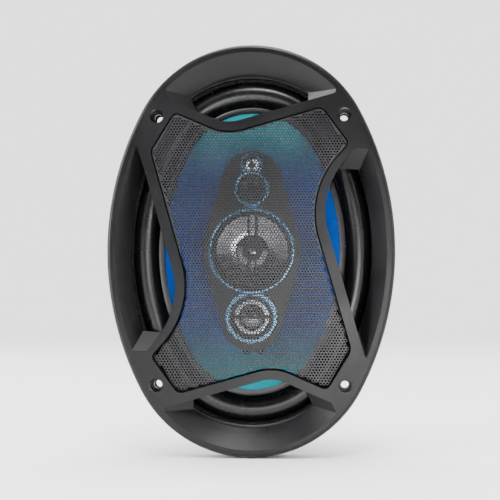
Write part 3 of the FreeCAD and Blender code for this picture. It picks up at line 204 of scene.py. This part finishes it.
LOOKS = {
    "grille_plastic": finish_material(
        "moulded_abs", (0.004, 0.004, 0.0045), rough=0.33, grain=1500, depth=0.00004,
        specular=0.26),
    "mesh_steel": finish_material(
        "mesh_paint", (0.014, 0.014, 0.015), rough=0.36, grain=900, depth=0.00001,
        specular=0.35),
    "ring_plastic": finish_material(
        "ring_satin", (0.005, 0.005, 0.006), rough=0.32, grain=1400, depth=0.00003,
        specular=0.35),
    "basket_paint": finish_material(
        "gloss_enamel", (0.003, 0.003, 0.0035), rough=0.20, grain=900, depth=0.00002,
        uneven=0.03, specular=0.42),
    "surround_rubber": finish_material(
        "butyl", (0.003, 0.003, 0.0035), rough=0.26, grain=900, depth=0.00002,
        uneven=0.05, specular=0.4),
    "spider_cloth": weave(
        "impregnated_cloth", (0.72, 0.30, 0.05), rough=0.55, count=520, depth=0.00012),
    "plate_steel": finish_material(
        "black_zinc", (0.012, 0.012, 0.014), rough=0.30, grain=500, depth=0.00002,
        metallic=0.4, specular=0.4),
    "ferrite": finish_material(
        "sintered_ferrite", (0.045, 0.045, 0.047), rough=0.62, grain=700, depth=0.00006,
        metallic=0.1, uneven=0.1),
    "cover_grey": finish_material(
        "cover_moulding", (0.115, 0.118, 0.125), rough=0.32, grain=1300, depth=0.00002,
        tint=0.03),
    "cone_blue": finish_material(
        "cone_lacquer", (0.0, 0.20, 0.80), rough=0.24, grain=420, depth=0.00003,
        metallic=0.30, coat=0.6, uneven=0.05, tint=0.06),
    "former_film": finish_material(
        "polyimide", (0.42, 0.17, 0.04), rough=0.30, grain=300, depth=0.00001, coat=0.3),
    "copper_wire": finish_material(
        "enamelled_copper", (0.72, 0.30, 0.12), rough=0.28, grain=60, depth=0.00008,
        metallic=0.9, stretch=(0.05, 60, 0.05)),
    "collar_cloth": weave(
        "collar_cloth", (0.02, 0.02, 0.022), rough=0.75, count=700, depth=0.00008),
    "pod_plastic": finish_material(
        "pod_moulding", (0.006, 0.006, 0.007), rough=0.32, grain=1400, depth=0.00003,
        specular=0.35),
    "trim_blue": finish_material(
        "anodised_blue", (0.20, 0.52, 0.86), rough=0.20, grain=900, depth=0.00001,
        metallic=0.75, coat=0.4, tint=0.05),
    "silver_film": finish_material(
        "metallised_film", (0.50, 0.50, 0.55), rough=0.14, grain=160, depth=0.00003,
        metallic=0.95, uneven=0.04, tint=0.04),
    "motor_steel": finish_material(
        "plated_steel", (0.52, 0.52, 0.54), rough=0.30, grain=800, depth=0.00001,
        metallic=1),
    "neodymium": finish_material(
        "nickel_plate", (0.66, 0.66, 0.66), rough=0.16, grain=500, depth=0.00001,
        metallic=1, uneven=0.03),
    "board_fibre": finish_material(
        "fibre_board", (0.26, 0.11, 0.04), rough=0.55, grain=600, depth=0.00008,
        stretch=(1, 1, 0.2)),
    "blade_brass": finish_material(
        "tinned_brass", (0.52, 0.44, 0.28), rough=0.30, grain=900, depth=0.00002,
        metallic=1, stretch=(1, 0.08, 1)),
    "rivet_steel": finish_material(
        "zinc_plate", (0.62, 0.62, 0.64), rough=0.28, grain=600, depth=0.00002,
        metallic=1),
    "glue_black": finish_material(
        "set_adhesive", (0.008, 0.008, 0.009), rough=0.18, grain=220, depth=0.0002,
        coat=0.5),
    "lead_braid": finish_material(
        "tinsel_braid", (0.62, 0.54, 0.44), rough=0.42, grain=1100, depth=0.00025,
        metallic=0.7),
    "lead_white": finish_material(
        "pale_insulation", (0.70, 0.69, 0.80), rough=0.32, grain=500, depth=0.00003),
}


# ---------------------------------------------------------------- geometry

# Edges that turn by more than this many degrees are bevelled
BEVEL_ANGLE = 34


def place(x, y, z):
    """Speaker millimetres (across, along, forward) to the row frame in metres."""
    return (x * MM, -z * MM, y * MM)


def dress(obj, node, smooth_angle=32):
    """Material, by the node's slot, and shading for an object that stands for a CAD node."""
    obj.data.materials.clear()
    obj.data.materials.append(LOOKS[slot_of[node]])
    for polygon in obj.data.polygons:
        polygon.use_smooth = True
    obj.data.set_sharp_from_angle(angle=math.radians(smooth_angle))


def stand_for(obj, node, smooth_angle=32):
    """The object takes a CAD node's place, on its body."""
    dress(obj, node, smooth_angle)
    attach(obj, body_of[node])
    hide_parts(node)


def linked(name, data):
    """A new object in the scene that holds the data."""
    obj = bpy.data.objects.new(name, data)
    bpy.context.scene.collection.objects.link(obj)
    return obj


def mesh_object(name, vertices, faces):
    """A welded mesh whose faces point outward."""
    data = bpy.data.meshes.new(name)
    data.from_pydata([tuple(v) for v in vertices], [], [tuple(f) for f in faces])
    data.validate()
    form = bmesh.new()
    form.from_mesh(data)
    bmesh.ops.remove_doubles(form, verts=form.verts, dist=SAME_SPOT)
    bmesh.ops.recalc_face_normals(form, faces=form.faces)
    form.to_mesh(data)
    form.free()
    return linked(name, data)


def refined(node, name, bevel=0.0, segments=2, smooth_angle=32):
    """A copy of a CAD piece with welded corners, soft edges and smooth shading."""
    data = nodes[node].data.copy()
    obj = linked(name, data)
    if data.has_custom_normals:
        with bpy.context.temp_override(object=obj, active_object=obj):
            bpy.ops.mesh.customdata_custom_splitnormals_clear()
    form = bmesh.new()
    form.from_mesh(data)
    bmesh.ops.remove_doubles(form, verts=form.verts, dist=CAD_WELD)
    bmesh.ops.dissolve_degenerate(form, edges=form.edges, dist=SHORT_EDGE)
    form.to_mesh(data)
    form.free()
    stand_for(obj, node, smooth_angle)
    if bevel:
        soft = obj.modifiers.new("soft_edges", "BEVEL")
        soft.width = bevel * MM
        soft.segments = segments
        soft.limit_method = "ANGLE"
        soft.angle_limit = math.radians(BEVEL_ANGLE)
        soft.use_clamp_overlap = True
        soft.harden_normals = True
    flat = obj.modifiers.new("even_shading", "WEIGHTED_NORMAL")
    flat.keep_sharp = True


def circle(radius, count=AROUND):
    """Points of a circle."""
    turn = np.linspace(0, 2 * math.pi, count, endpoint=False)
    return np.stack([radius * np.cos(turn), radius * np.sin(turn)], 1)


def oval(size, count=AROUND):
    """Points of a four-arc oval, one for each direction of its normal."""
    turn = np.linspace(0, 2 * math.pi, count, endpoint=False)
    cos, sin = np.cos(turn), np.sin(turn)
    reach = math.hypot(END_CENTRE, SIDE_CENTRE)
    end_radius = size - END_CENTRE
    side_radius = end_radius + reach
    on_side = np.abs(sin) < END_CENTRE / reach
    across = np.where(on_side, side_radius * cos - np.sign(cos) * SIDE_CENTRE, end_radius * cos)
    along = np.where(on_side, side_radius * sin, end_radius * sin + np.sign(sin) * END_CENTRE)
    return np.stack([across, along], 1)


def swept(name, section, count=AROUND):
    """A closed solid: each section entry is (points, height), and the last joins the
    first."""
    vertices = []
    for points, height in section:
        for x, y in points:
            vertices.append(place(x, y, height))
    faces = []
    rows = len(section)
    for i in range(rows):
        j = (i + 1) % rows
        for k in range(count):
            n = (k + 1) % count
            faces.append((i * count + k, i * count + n, j * count + n, j * count + k))
    return mesh_object(name, vertices, faces)


def turned(name, profile, count=128):
    """A ring turned round the forward axis: profile is a closed list of (radius, height)."""
    return swept(name, [(circle(radius, count), height) for radius, height in profile], count)


def rounded(corners, steps=5):
    """A closed profile whose corners (radius, height, rounding) are rounded off."""
    points = []
    total = len(corners)
    for i, (x, y, round_by) in enumerate(corners):
        here = Vector((x, y))
        before = Vector(corners[i - 1][:2]) - here
        after = Vector(corners[(i + 1) % total][:2]) - here
        start = here + before.normalized() * round_by
        end = here + after.normalized() * round_by
        for step in range(steps + 1):
            t = step / steps
            point = start * (1 - t) ** 2 + here * (2 * t * (1 - t)) + end * t * t
            points.append(tuple(point))
    return points


def tube(name, points, radius, sides=12, steps=10):
    """A round tube along a smooth path through the points, given in millimetres."""
    path = [Vector(place(*p)) for p in points]
    fine = []
    for i in range(len(path) - 1):
        p0 = path[max(i - 1, 0)]
        p1, p2 = path[i], path[i + 1]
        p3 = path[min(i + 2, len(path) - 1)]
        for step in range(steps):
            t = step / steps
            square = (2 * p0 - 5 * p1 + 4 * p2 - p3) * t * t
            cube = (3 * p1 - p0 - 3 * p2 + p3) * t ** 3
            fine.append(0.5 * ((2 * p1) + (p2 - p0) * t + square + cube))
    fine.append(path[-1])
    vertices, faces = [], []
    side = None
    for i, point in enumerate(fine):
        ahead = fine[min(i + 1, len(fine) - 1)] - fine[max(i - 1, 0)]
        ahead.normalize()
        if side is None:
            side = ahead.orthogonal().normalized()
        side = (side - ahead * side.dot(ahead)).normalized()
        up = ahead.cross(side)
        for k in range(sides):
            angle = 2 * math.pi * k / sides
            outward = side * math.cos(angle) + up * math.sin(angle)
            vertices.append(point + outward * radius * MM)
    for i in range(len(fine) - 1):
        for k in range(sides):
            n = (k + 1) % sides
            j = i + 1
            faces.append((i * sides + k, i * sides + n, j * sides + n, j * sides + k))
    faces.append(tuple(reversed(range(sides))))
    faces.append(tuple(range((len(fine) - 1) * sides, len(fine) * sides)))
    return mesh_object(name, vertices, faces), fine


def follow(obj):
    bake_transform(obj)


def ease(t):
    """A smooth step from 0 to 1."""
    t = np.clip(t, 0, 1)
    return t * t * (3 - 2 * t)


# ---------------------------------------------------------------- grille

refined("grille_frame", "grille_shell", bevel=0.5, segments=3, smooth_angle=30)


# The perforated mesh, in metres: pitch, a hole's corner radius, the strip kept between a
# hole and the outline, and how far the sheet stays inside its CAD outline. Corners that
# round to the same point of the shared grid are one.
PITCH = 1.8 * MM
HOLE = 0.66 * MM
RIM_WIDTH = 0.08 * MM
INSET = 0.85 * MM
SHARED_GRID = 2e5
SAME_LEVEL = 1e-5


def outline_of(node, level):
    """The corners round a flat sheet's face that lies at this row-frame depth."""
    data = nodes[node].data
    where = {}
    index = {}
    for vertex in data.vertices:
        key = tuple(round(c, 6) for c in vertex.co)
        index[vertex.index] = where.setdefault(key, len(where))
    spots = {number: key for key, number in where.items()}
    edges = {}
    for polygon in data.polygons:
        corners = [index[v] for v in polygon.vertices]
        if any(abs(spots[c][1] - level) > SAME_LEVEL for c in corners):
            continue
        edges.update(dict.fromkeys(zip(corners, corners[1:] + corners[:1])))
    rim = {a: b for a, b in edges if (b, a) not in edges}
    start = next(iter(rim))
    loop = [start]
    while rim[loop[-1]] != start:
        loop.append(rim[loop[-1]])
    return [Vector((spots[i][0], spots[i][2])) for i in loop]


def drawn_in(corners, inset):
    """The outline's corners, moved inward."""
    around = corners[-1:] + corners + corners[:1]
    moved = []
    for before, here, after in zip(around, corners, around[2:]):
        run = (after - before).normalized()
        moved.append(here + Vector((-run.y, run.x)) * inset)
    return moved


def edges_of(faces):
    """Every directed edge of the faces."""
    return {edge for face in faces for edge in zip(face, face[1:] + face[:1])}


class Outline:
    """A closed flat outline, which says how near and on which side a point is."""

    def __init__(self, corners):
        edges = np.array([(*a, *b) for a, b in zip(corners, corners[1:] + corners[:1])])
        self.start = edges[:, :2]
        self.run = edges[:, 2:] - edges[:, :2]
        self.square = (self.run ** 2).sum(1)

    def nearest(self, point):
        """The nearest spot, drawn in by RIM_WIDTH, how far the outline is, and whether
        the point is inside."""
        start, run = self.start, self.run
        to = point - start
        t = np.clip((to * run).sum(1) / self.square, 0, 1)
        gaps = np.sqrt(((to - run * t[:, None]) ** 2).sum(1))
        at = int(gaps.argmin())
        crossings = (start[:, 1] > point[1]) != ((start + run)[:, 1] > point[1])
        with np.errstate(divide="ignore", invalid="ignore"):
            cut = start[:, 0] + (point[1] - start[:, 1]) / run[:, 1] * run[:, 0]
        inside = (crossings & (point[0] < cut)).sum() % 2 == 1
        inward = np.array([-run[at, 1], run[at, 0]]) / math.sqrt(self.square[at])
        return start[at] + run[at] * t[at] + inward * RIM_WIDTH, gaps[at], inside


def hole_centres(outline, high):
    """Staggered rows of centres whose holes stay clear of the outline."""
    rise = PITCH * math.sqrt(3) / 2
    rows = int(high.z / rise) + 1
    columns = int(high.x / PITCH) + 2
    centres = []
    for row in range(-rows, rows + 1):
        for column in range(-columns, columns + 1):
            point = np.array([(column + 0.5 * (row % 2)) * PITCH, row * rise])
            _, gap, inside = outline.nearest(point)
            if inside and gap > HOLE + 2 * RIM_WIDTH:
                centres.append(point)
    return centres


def cells_with_holes(outline, centres):
    """Six-sided cells, each with its hole. It returns the spots, the faces and the holes."""
    cell = PITCH / math.sqrt(3)
    turns = [math.radians(30 + 60 * k) for k in range(6)]
    shared = {}
    spots, faces, holes = [], [], []

    def spot(x, y):
        """A shared corner, drawn in from the outline where it would cross it."""
        key = (round(x * SHARED_GRID), round(y * SHARED_GRID))
        if key not in shared:
            moved, gap, inside = outline.nearest(np.array([x, y]))
            shared[key] = len(spots)
            spots.append((x, y) if inside and gap > RIM_WIDTH else tuple(moved))
        return shared[key]

    for x, y in centres:
        outer = [spot(x + cell * math.cos(a), y + cell * math.sin(a)) for a in turns]
        inner = []
        for a in turns:
            inner.append(len(spots))
            spots.append((x + HOLE * math.cos(a), y + HOLE * math.sin(a)))
        holes.append(inner)
        for k in range(6):
            n = (k + 1) % 6
            faces.append((outer[k], outer[n], inner[n], inner[k]))
    return spots, faces, holes


def loops_round(faces, holes):
    """The loops of corners round the outside of the cells, but not round their holes."""
    uses = edges_of(faces)
    in_hole = {i for inner in holes for i in inner}
    left = {b: a for a, b in uses if (b, a) not in uses and a not in in_hole}
    loops = []
    while left:
        first = next(iter(left))
        loop = [first]
        following = left.pop(first)
        while following != first:
            loop.append(following)
            following = left.pop(following)
        loops.append(loop)
    return loops


def perforated_sheet():
    """The mesh: a sheet with staggered six-sided holes and a plain border."""
    low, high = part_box("grille_mesh")
    corners = outline_of("grille_mesh", low.y)
    area = sum(a.x * b.y - b.x * a.y for a, b in zip(corners, corners[1:] + corners[:1])) / 2
    if area < 0:
        corners.reverse()
    corners = drawn_in(corners, INSET)
    outline = Outline(corners)
    spots, faces, holes = cells_with_holes(outline, hole_centres(outline, high))
    loops = loops_round(faces, holes)
    rim = list(range(len(spots), len(spots) + len(corners)))
    spots.extend((p.x, p.y) for p in corners)
    border = [rim] + loops
    order = [i for loop in border for i in loop]
    polygons = [[Vector((*spots[i], 0)) for i in loop] for loop in border]
    for triangle in geometry.tessellate_polygon(polygons):
        faces.append(tuple(order[i] for i in triangle))
    count = len(spots)
    front = [(x, low.y, z) for x, z in spots]
    back = [(x, high.y, z) for x, z in spots]
    walls = [(a, b, b + count, a + count)
             for loop in holes + [rim] for a, b in zip(loop, loop[1:] + loop[:1])]
    behind = [tuple(i + count for i in reversed(face)) for face in faces]
    return mesh_object("perforated_sheet", front + back, faces + behind + walls)


stand_for(perforated_sheet(), "grille_mesh", smooth_angle=45)


# ---------------------------------------------------------------- cone, surround, spider

def roll_section():
    """The surround's section as (oval size, height): outer lip, half roll, inner lip."""
    outer, inner = 106, 83.4
    low, high = 1.5, 2.1
    middle, over, under = 94.5, 7.5, 6.9
    rise, steps = 6.9, 24
    angles = [math.pi * step / steps for step in range(1, steps)]
    section = [(outer, high), (103.2, high), (102.2, 2.3)]
    section += [(middle + over * math.cos(a), high + rise * math.sin(a)) for a in angles]
    section += [(86.9, 2.25), (86.2, high), (inner, high), (inner, low), (86.4, low)]
    section += [(middle + under * math.cos(a), low + rise * math.sin(a))
                for a in reversed(angles)]
    section += [(102.6, low), (outer, low)]
    return section


def surround():
    """The rubber roll, from its outer lip to its inner lip at the cone's edge."""
    obj = swept("rubber_surround", [(oval(size), height) for size, height in roll_section()])
    dress(obj, "surround", 50)
    follow(obj)
    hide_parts("surround")


def paint_cone_glint():
    """Painted reflection on the lacquer: royal blue at the sides, turning to a painted cyan
    glint towards the long ends.
    """
    # The cyan towards the long ends is a painted glint, not the lacquer's own colour
    blue, glint_cyan = (0.004, 0.13, 0.72), (0.0, 0.46, 0.58)
    glint_begins, glint_full = 0.040, 0.074
    tree = LOOKS["cone_blue"].node_tree
    coords = tree.nodes.new("ShaderNodeTexCoord")
    apart = tree.nodes.new("ShaderNodeSeparateXYZ")
    along = tree.nodes.new("ShaderNodeMath")
    along.operation = "ABSOLUTE"
    share = tree.nodes.new("ShaderNodeMapRange")
    share.interpolation_type = "SMOOTHSTEP"
    share.inputs["From Min"].default_value = glint_begins
    share.inputs["From Max"].default_value = glint_full
    tree.links.new(coords.outputs["Object"], apart.inputs["Vector"])
    tree.links.new(apart.outputs["Z"], along.inputs[0])
    tree.links.new(along.outputs["Value"], share.inputs["Value"])
    mix_colours(tree, tree.nodes["Principled BSDF"], share.outputs["Result"], blue, glint_cyan)


def cone():
    """The cone: a thin shell from its flat oval rim to the round neck."""
    front, back = oval(CONE_SIZE), oval(CONE_SIZE + CONE_LEDGE)
    rim, neck = oval(CONE_RIM_SIZE), circle(NECK_RADIUS)
    steps = 40
    section = [(rim, CONE_TOP), (back, CONE_TOP)]
    for step in range(steps + 1):
        t = step / steps
        section.append((front * (1 - t) + neck * t, CONE_TOP - CONE_DROP * t))
    for step in range(steps, -1, -1):
        t = step / steps
        section.append((back * (1 - t) + neck * t, CONE_TOP - CONE_THICK - CONE_DROP * t))
    section.append((rim, CONE_TOP - CONE_THICK))
    stand_for(swept("lacquered_cone", section), "cone", 40)
    paint_cone_glint()


def spider():
    """The corrugated spider, from the coil to its outer edge."""
    inner, outer, level, half_thick = 13.3, 45, -38.4, 0.25
    wave, waves, shift, steps = 1.3, 5, 0.6, 70
    rise_rate, fall_rate = 9, 7
    section = []
    for lift, order in ((half_thick, range(steps + 1)), (-half_thick, range(steps, -1, -1))):
        for step in order:
            t = step / steps
            radius = inner + (outer - inner) * t
            calm = min(1.0, t * rise_rate, (1 - t) * fall_rate)
            height = level + wave * calm * math.sin(2 * math.pi * waves * t + shift) + lift
            section.append((radius, height))
    obj = turned("corrugated_spider", section, 160)
    dress(obj, "spider", 60)
    follow(obj)
    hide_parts("spider")


surround()
cone()
spider()


# ---------------------------------------------------------------- basket and motor

def cover():
    """The magnet cover: a cup with rounded edges and a round window behind."""
    inner, outer, window = 40.3, 42, 19
    front, back, thick = -63.5, -80, 0.8
    floor = back + thick
    profile = rounded([
        (inner, front, 0.4), (outer, front, 0.5), (outer, back, 3.2), (window, back, 0.6),
        (window, floor, 0.2), (inner, floor, 2.0)])
    stand_for(turned("cover_shell", profile), "magnet_cover", 40)


cover()


refined("basket", "stamped_basket", bevel=0.5, smooth_angle=28)

# Bevel widths in millimetres
BEVELS = {
    "trim_ring": 0.5, "top_plate": 0.5, "magnet": 0.7, "back_plate": 0.5, "pod_base": 0.4,
    "pod_face": 0.25, "pod_post": 0.3, "pod_bolt": 0.15, "mid_trim": 0.35, "tweeter_trim": 0.35,
    "large_trim": 0.3, "small_trim": 0.3, "mid_funnel": 0.2, "mid_guard_bar": 0.3,
    "tweeter_cup": 0.3, "tweeter_bar": 0.12, "large_cup": 0.3, "small_cup": 0.3,
    "basket_rivets": 0.3, "terminal_board": 0.2, "positive_blade": 0.12,
    "negative_blade": 0.12, "terminal_rivets": 0.15, "lead_eyelets": 0.35,
    "pod_lead_glue": 0.5, "dust_collar": 0.2, "voice_coil_winding": 0.2,
}
for node in sorted(nodes):
    if nodes[node].hide_render or node in ("cone_leads", "pod_leads"):
        continue
    refined(node, node + "_part", bevel=BEVELS.get(node, 0))


# ---------------------------------------------------------------- leads

def leads(node, name, routes, radius, start_level, end_level):
    """Two curved leads from the chassis to the cone. The levels are shares of the path."""
    vertices, faces, weights = [], [], []
    for number, route in enumerate(routes):
        obj, path = tube(f"{name}_{number}", route, radius)
        points = np.array([tuple(p) for p in path])
        for vertex in obj.data.vertices:
            nearest = ((points - np.array(vertex.co)) ** 2).sum(1).argmin()
            weights.append(ease((nearest / (len(path) - 1) - start_level)
                                / (end_level - start_level)))
        first = len(vertices)
        vertices += [tuple(v.co) for v in obj.data.vertices]
        faces += [tuple(first + i for i in p.vertices) for p in obj.data.polygons]
        bpy.data.objects.remove(obj)
    data = bpy.data.meshes.new(name)
    data.from_pydata(vertices, [], faces)
    obj = linked(name, data)
    dress(obj, node, 50)
    follow(obj)
    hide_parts(node)


def cone_level(along):
    """The height of the cone's front at this distance along its long axis."""
    share = (along - NECK_RADIUS) / (CONE_SIZE - NECK_RADIUS)
    return CONE_TOP - CONE_DROP + share * CONE_DROP


# The leads' routes as (across, along, forward) in millimetres, one for each side
CONE_ROUTES = [
    [(43.9, side * 7, -47.5), (47.2, side * 7.2, -47.6), (51.5, side * 7.6, -44),
     (52.5, side * 7.6, -37), (49, side * 7.4, -30.5), (43, side * 7.1, -26),
     (38, side * 7, -23.2), (34.2, side * 7, -19.9)] for side in (1, -1)]
POD_ROUTES = [
    [(side * 2.5, -47, -2.7), (side * 2.8, -47.6, -5.2), (side * 4.2, -51.5, -7.0),
     (side * 5.0, -56.5, -6.2), (side * 4.7, -60, -6.6), (side * 4.5, -61, cone_level(61) + 1.0)]
    for side in (1, -1)]
leads("cone_leads", "tinsel_leads", CONE_ROUTES, radius=0.8, start_level=0.15, end_level=0.9)
leads("pod_leads", "pod_wires", POD_ROUTES, radius=0.6, start_level=0.1, end_level=0.92)


# ---------------------------------------------------------------- stage, light, camera

low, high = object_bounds()
centre = (low + high) / 2

STUDIO_REACH = 2.6
STUDIO_BEND = 0.9
STUDIO_TOP = 3.2
FLOOR_GAP = 0.0005

# Each area light's place, width, height and power
LIGHTS = {
    "key": ((-1.15, -0.60, 0.30), 0.30, 1.0, 22),
    "front": ((0.1, -0.95, 1.35), 0.5, 0.35, 22),
    "under": ((0.15, -0.9, -0.05), 0.35, 0.12, 2.5),
    "fill": ((1.2, -0.5, 0.0), 0.18, 0.9, 3),
    "top": ((0.0, 0.2, 1.5), 0.9, 0.6, 14),
    "rear_left": ((-0.9, 0.9, 0.5), 0.3, 0.8, 7),
    "rear_right": ((0.9, 0.8, 0.5), 0.3, 0.8, 5),
    "wash": ((0.0, 0.3, 2.6), 2.6, 2.2, 110),
}

# The dark card's distance in front of the speaker, half width, and lower and upper edge
CARD_AWAY = 2.1
CARD_HALF_WIDTH = 1.5
CARD_LOW = -0.1
CARD_HIGH = 1.6

WORLD_STRENGTH = 0.6
LENS = 85
AZIMUTH = 3.5
ELEVATION = -2.0
CAMERA_HEIGHTS = 2.85


def backdrop():
    """A pale round studio: the floor curves up into a wall all the way round."""
    floor = low.z - FLOOR_GAP
    flat = STUDIO_REACH - STUDIO_BEND
    steps, around = 12, 96
    profile = [(0.4, floor), (flat, floor)]
    for step in range(1, steps + 1):
        angle = math.pi / 2 * step / steps
        profile.append((flat + STUDIO_BEND * math.sin(angle),
                        floor + STUDIO_BEND * (1 - math.cos(angle))))
    profile.append((STUDIO_REACH, floor + STUDIO_TOP))
    vertices = [(0, 0, floor)]
    for radius, z in profile:
        for k in range(around):
            turn = 2 * math.pi * k / around
            vertices.append((radius * math.cos(turn), radius * math.sin(turn), z))
    faces = []
    for k in range(around):
        n = (k + 1) % around
        faces.append((0, 1 + k, 1 + n))
        for row in range(len(profile) - 1):
            at = 1 + row * around
            faces.append((at + k, at + around + k, at + around + n, at + n))
    data = bpy.data.meshes.new("studio_sweep")
    data.from_pydata(vertices, [], faces)
    for polygon in data.polygons:
        polygon.use_smooth = True
    data.materials.append(finish_material(
        "studio_paper", (0.88, 0.88, 0.88), rough=0.75, grain=300, depth=0.00002,
        tint=0.01, specular=0.2))
    linked("studio_sweep", data)


def area_light(name, place_at, width, tall, power):
    """A rectangular light that faces the speaker."""
    data = bpy.data.lights.new(name, "AREA")
    data.shape = "RECTANGLE"
    data.size = width
    data.size_y = tall
    data.energy = power
    obj = linked(name, data)
    obj.location = place_at
    obj.rotation_euler = (-Vector(place_at)).to_track_quat("-Z", "Y").to_euler()


backdrop()
for name, (place_at, width, tall, power) in LIGHTS.items():
    area_light(name, place_at, width, tall, power)


def dark_card():
    """A black card behind the camera, seen only in reflections: the front faces would
    otherwise reflect the bright wall."""
    corners = [(x, -CARD_AWAY, z) for x, z in (
        (-CARD_HALF_WIDTH, CARD_LOW), (CARD_HALF_WIDTH, CARD_LOW),
        (CARD_HALF_WIDTH, CARD_HIGH), (-CARD_HALF_WIDTH, CARD_HIGH))]
    card = mesh_object("dark_card", corners, [(0, 1, 2, 3)])
    card.data.materials.append(finish_material(
        "black_felt", (0.01, 0.01, 0.01), rough=0.9, grain=400, depth=0.0002, specular=0.05))
    card.visible_camera = False
    card.visible_shadow = False
    card.visible_diffuse = False


dark_card()

world = bpy.data.worlds.new("studio")
bpy.context.scene.world = world
world.use_nodes = True
background = world.node_tree.nodes["Background"]
background.inputs["Color"].default_value = (0.95, 0.97, 1.0, 1)
background.inputs["Strength"].default_value = WORLD_STRENGTH

camera_data = bpy.data.cameras.new("camera")
camera_data.lens = LENS
camera = linked("camera", camera_data)
bpy.context.scene.camera = camera
azimuth, elevation = math.radians(AZIMUTH), math.radians(ELEVATION)
back = Vector((math.sin(azimuth) * math.cos(elevation),
               -math.cos(azimuth) * math.cos(elevation), math.sin(elevation)))
front = Vector((centre.x, low.y, centre.z))
camera.location = front + back * (high.z - low.z) * CAMERA_HEIGHTS
camera.rotation_euler = (-back).to_track_quat("-Z", "Y").to_euler()
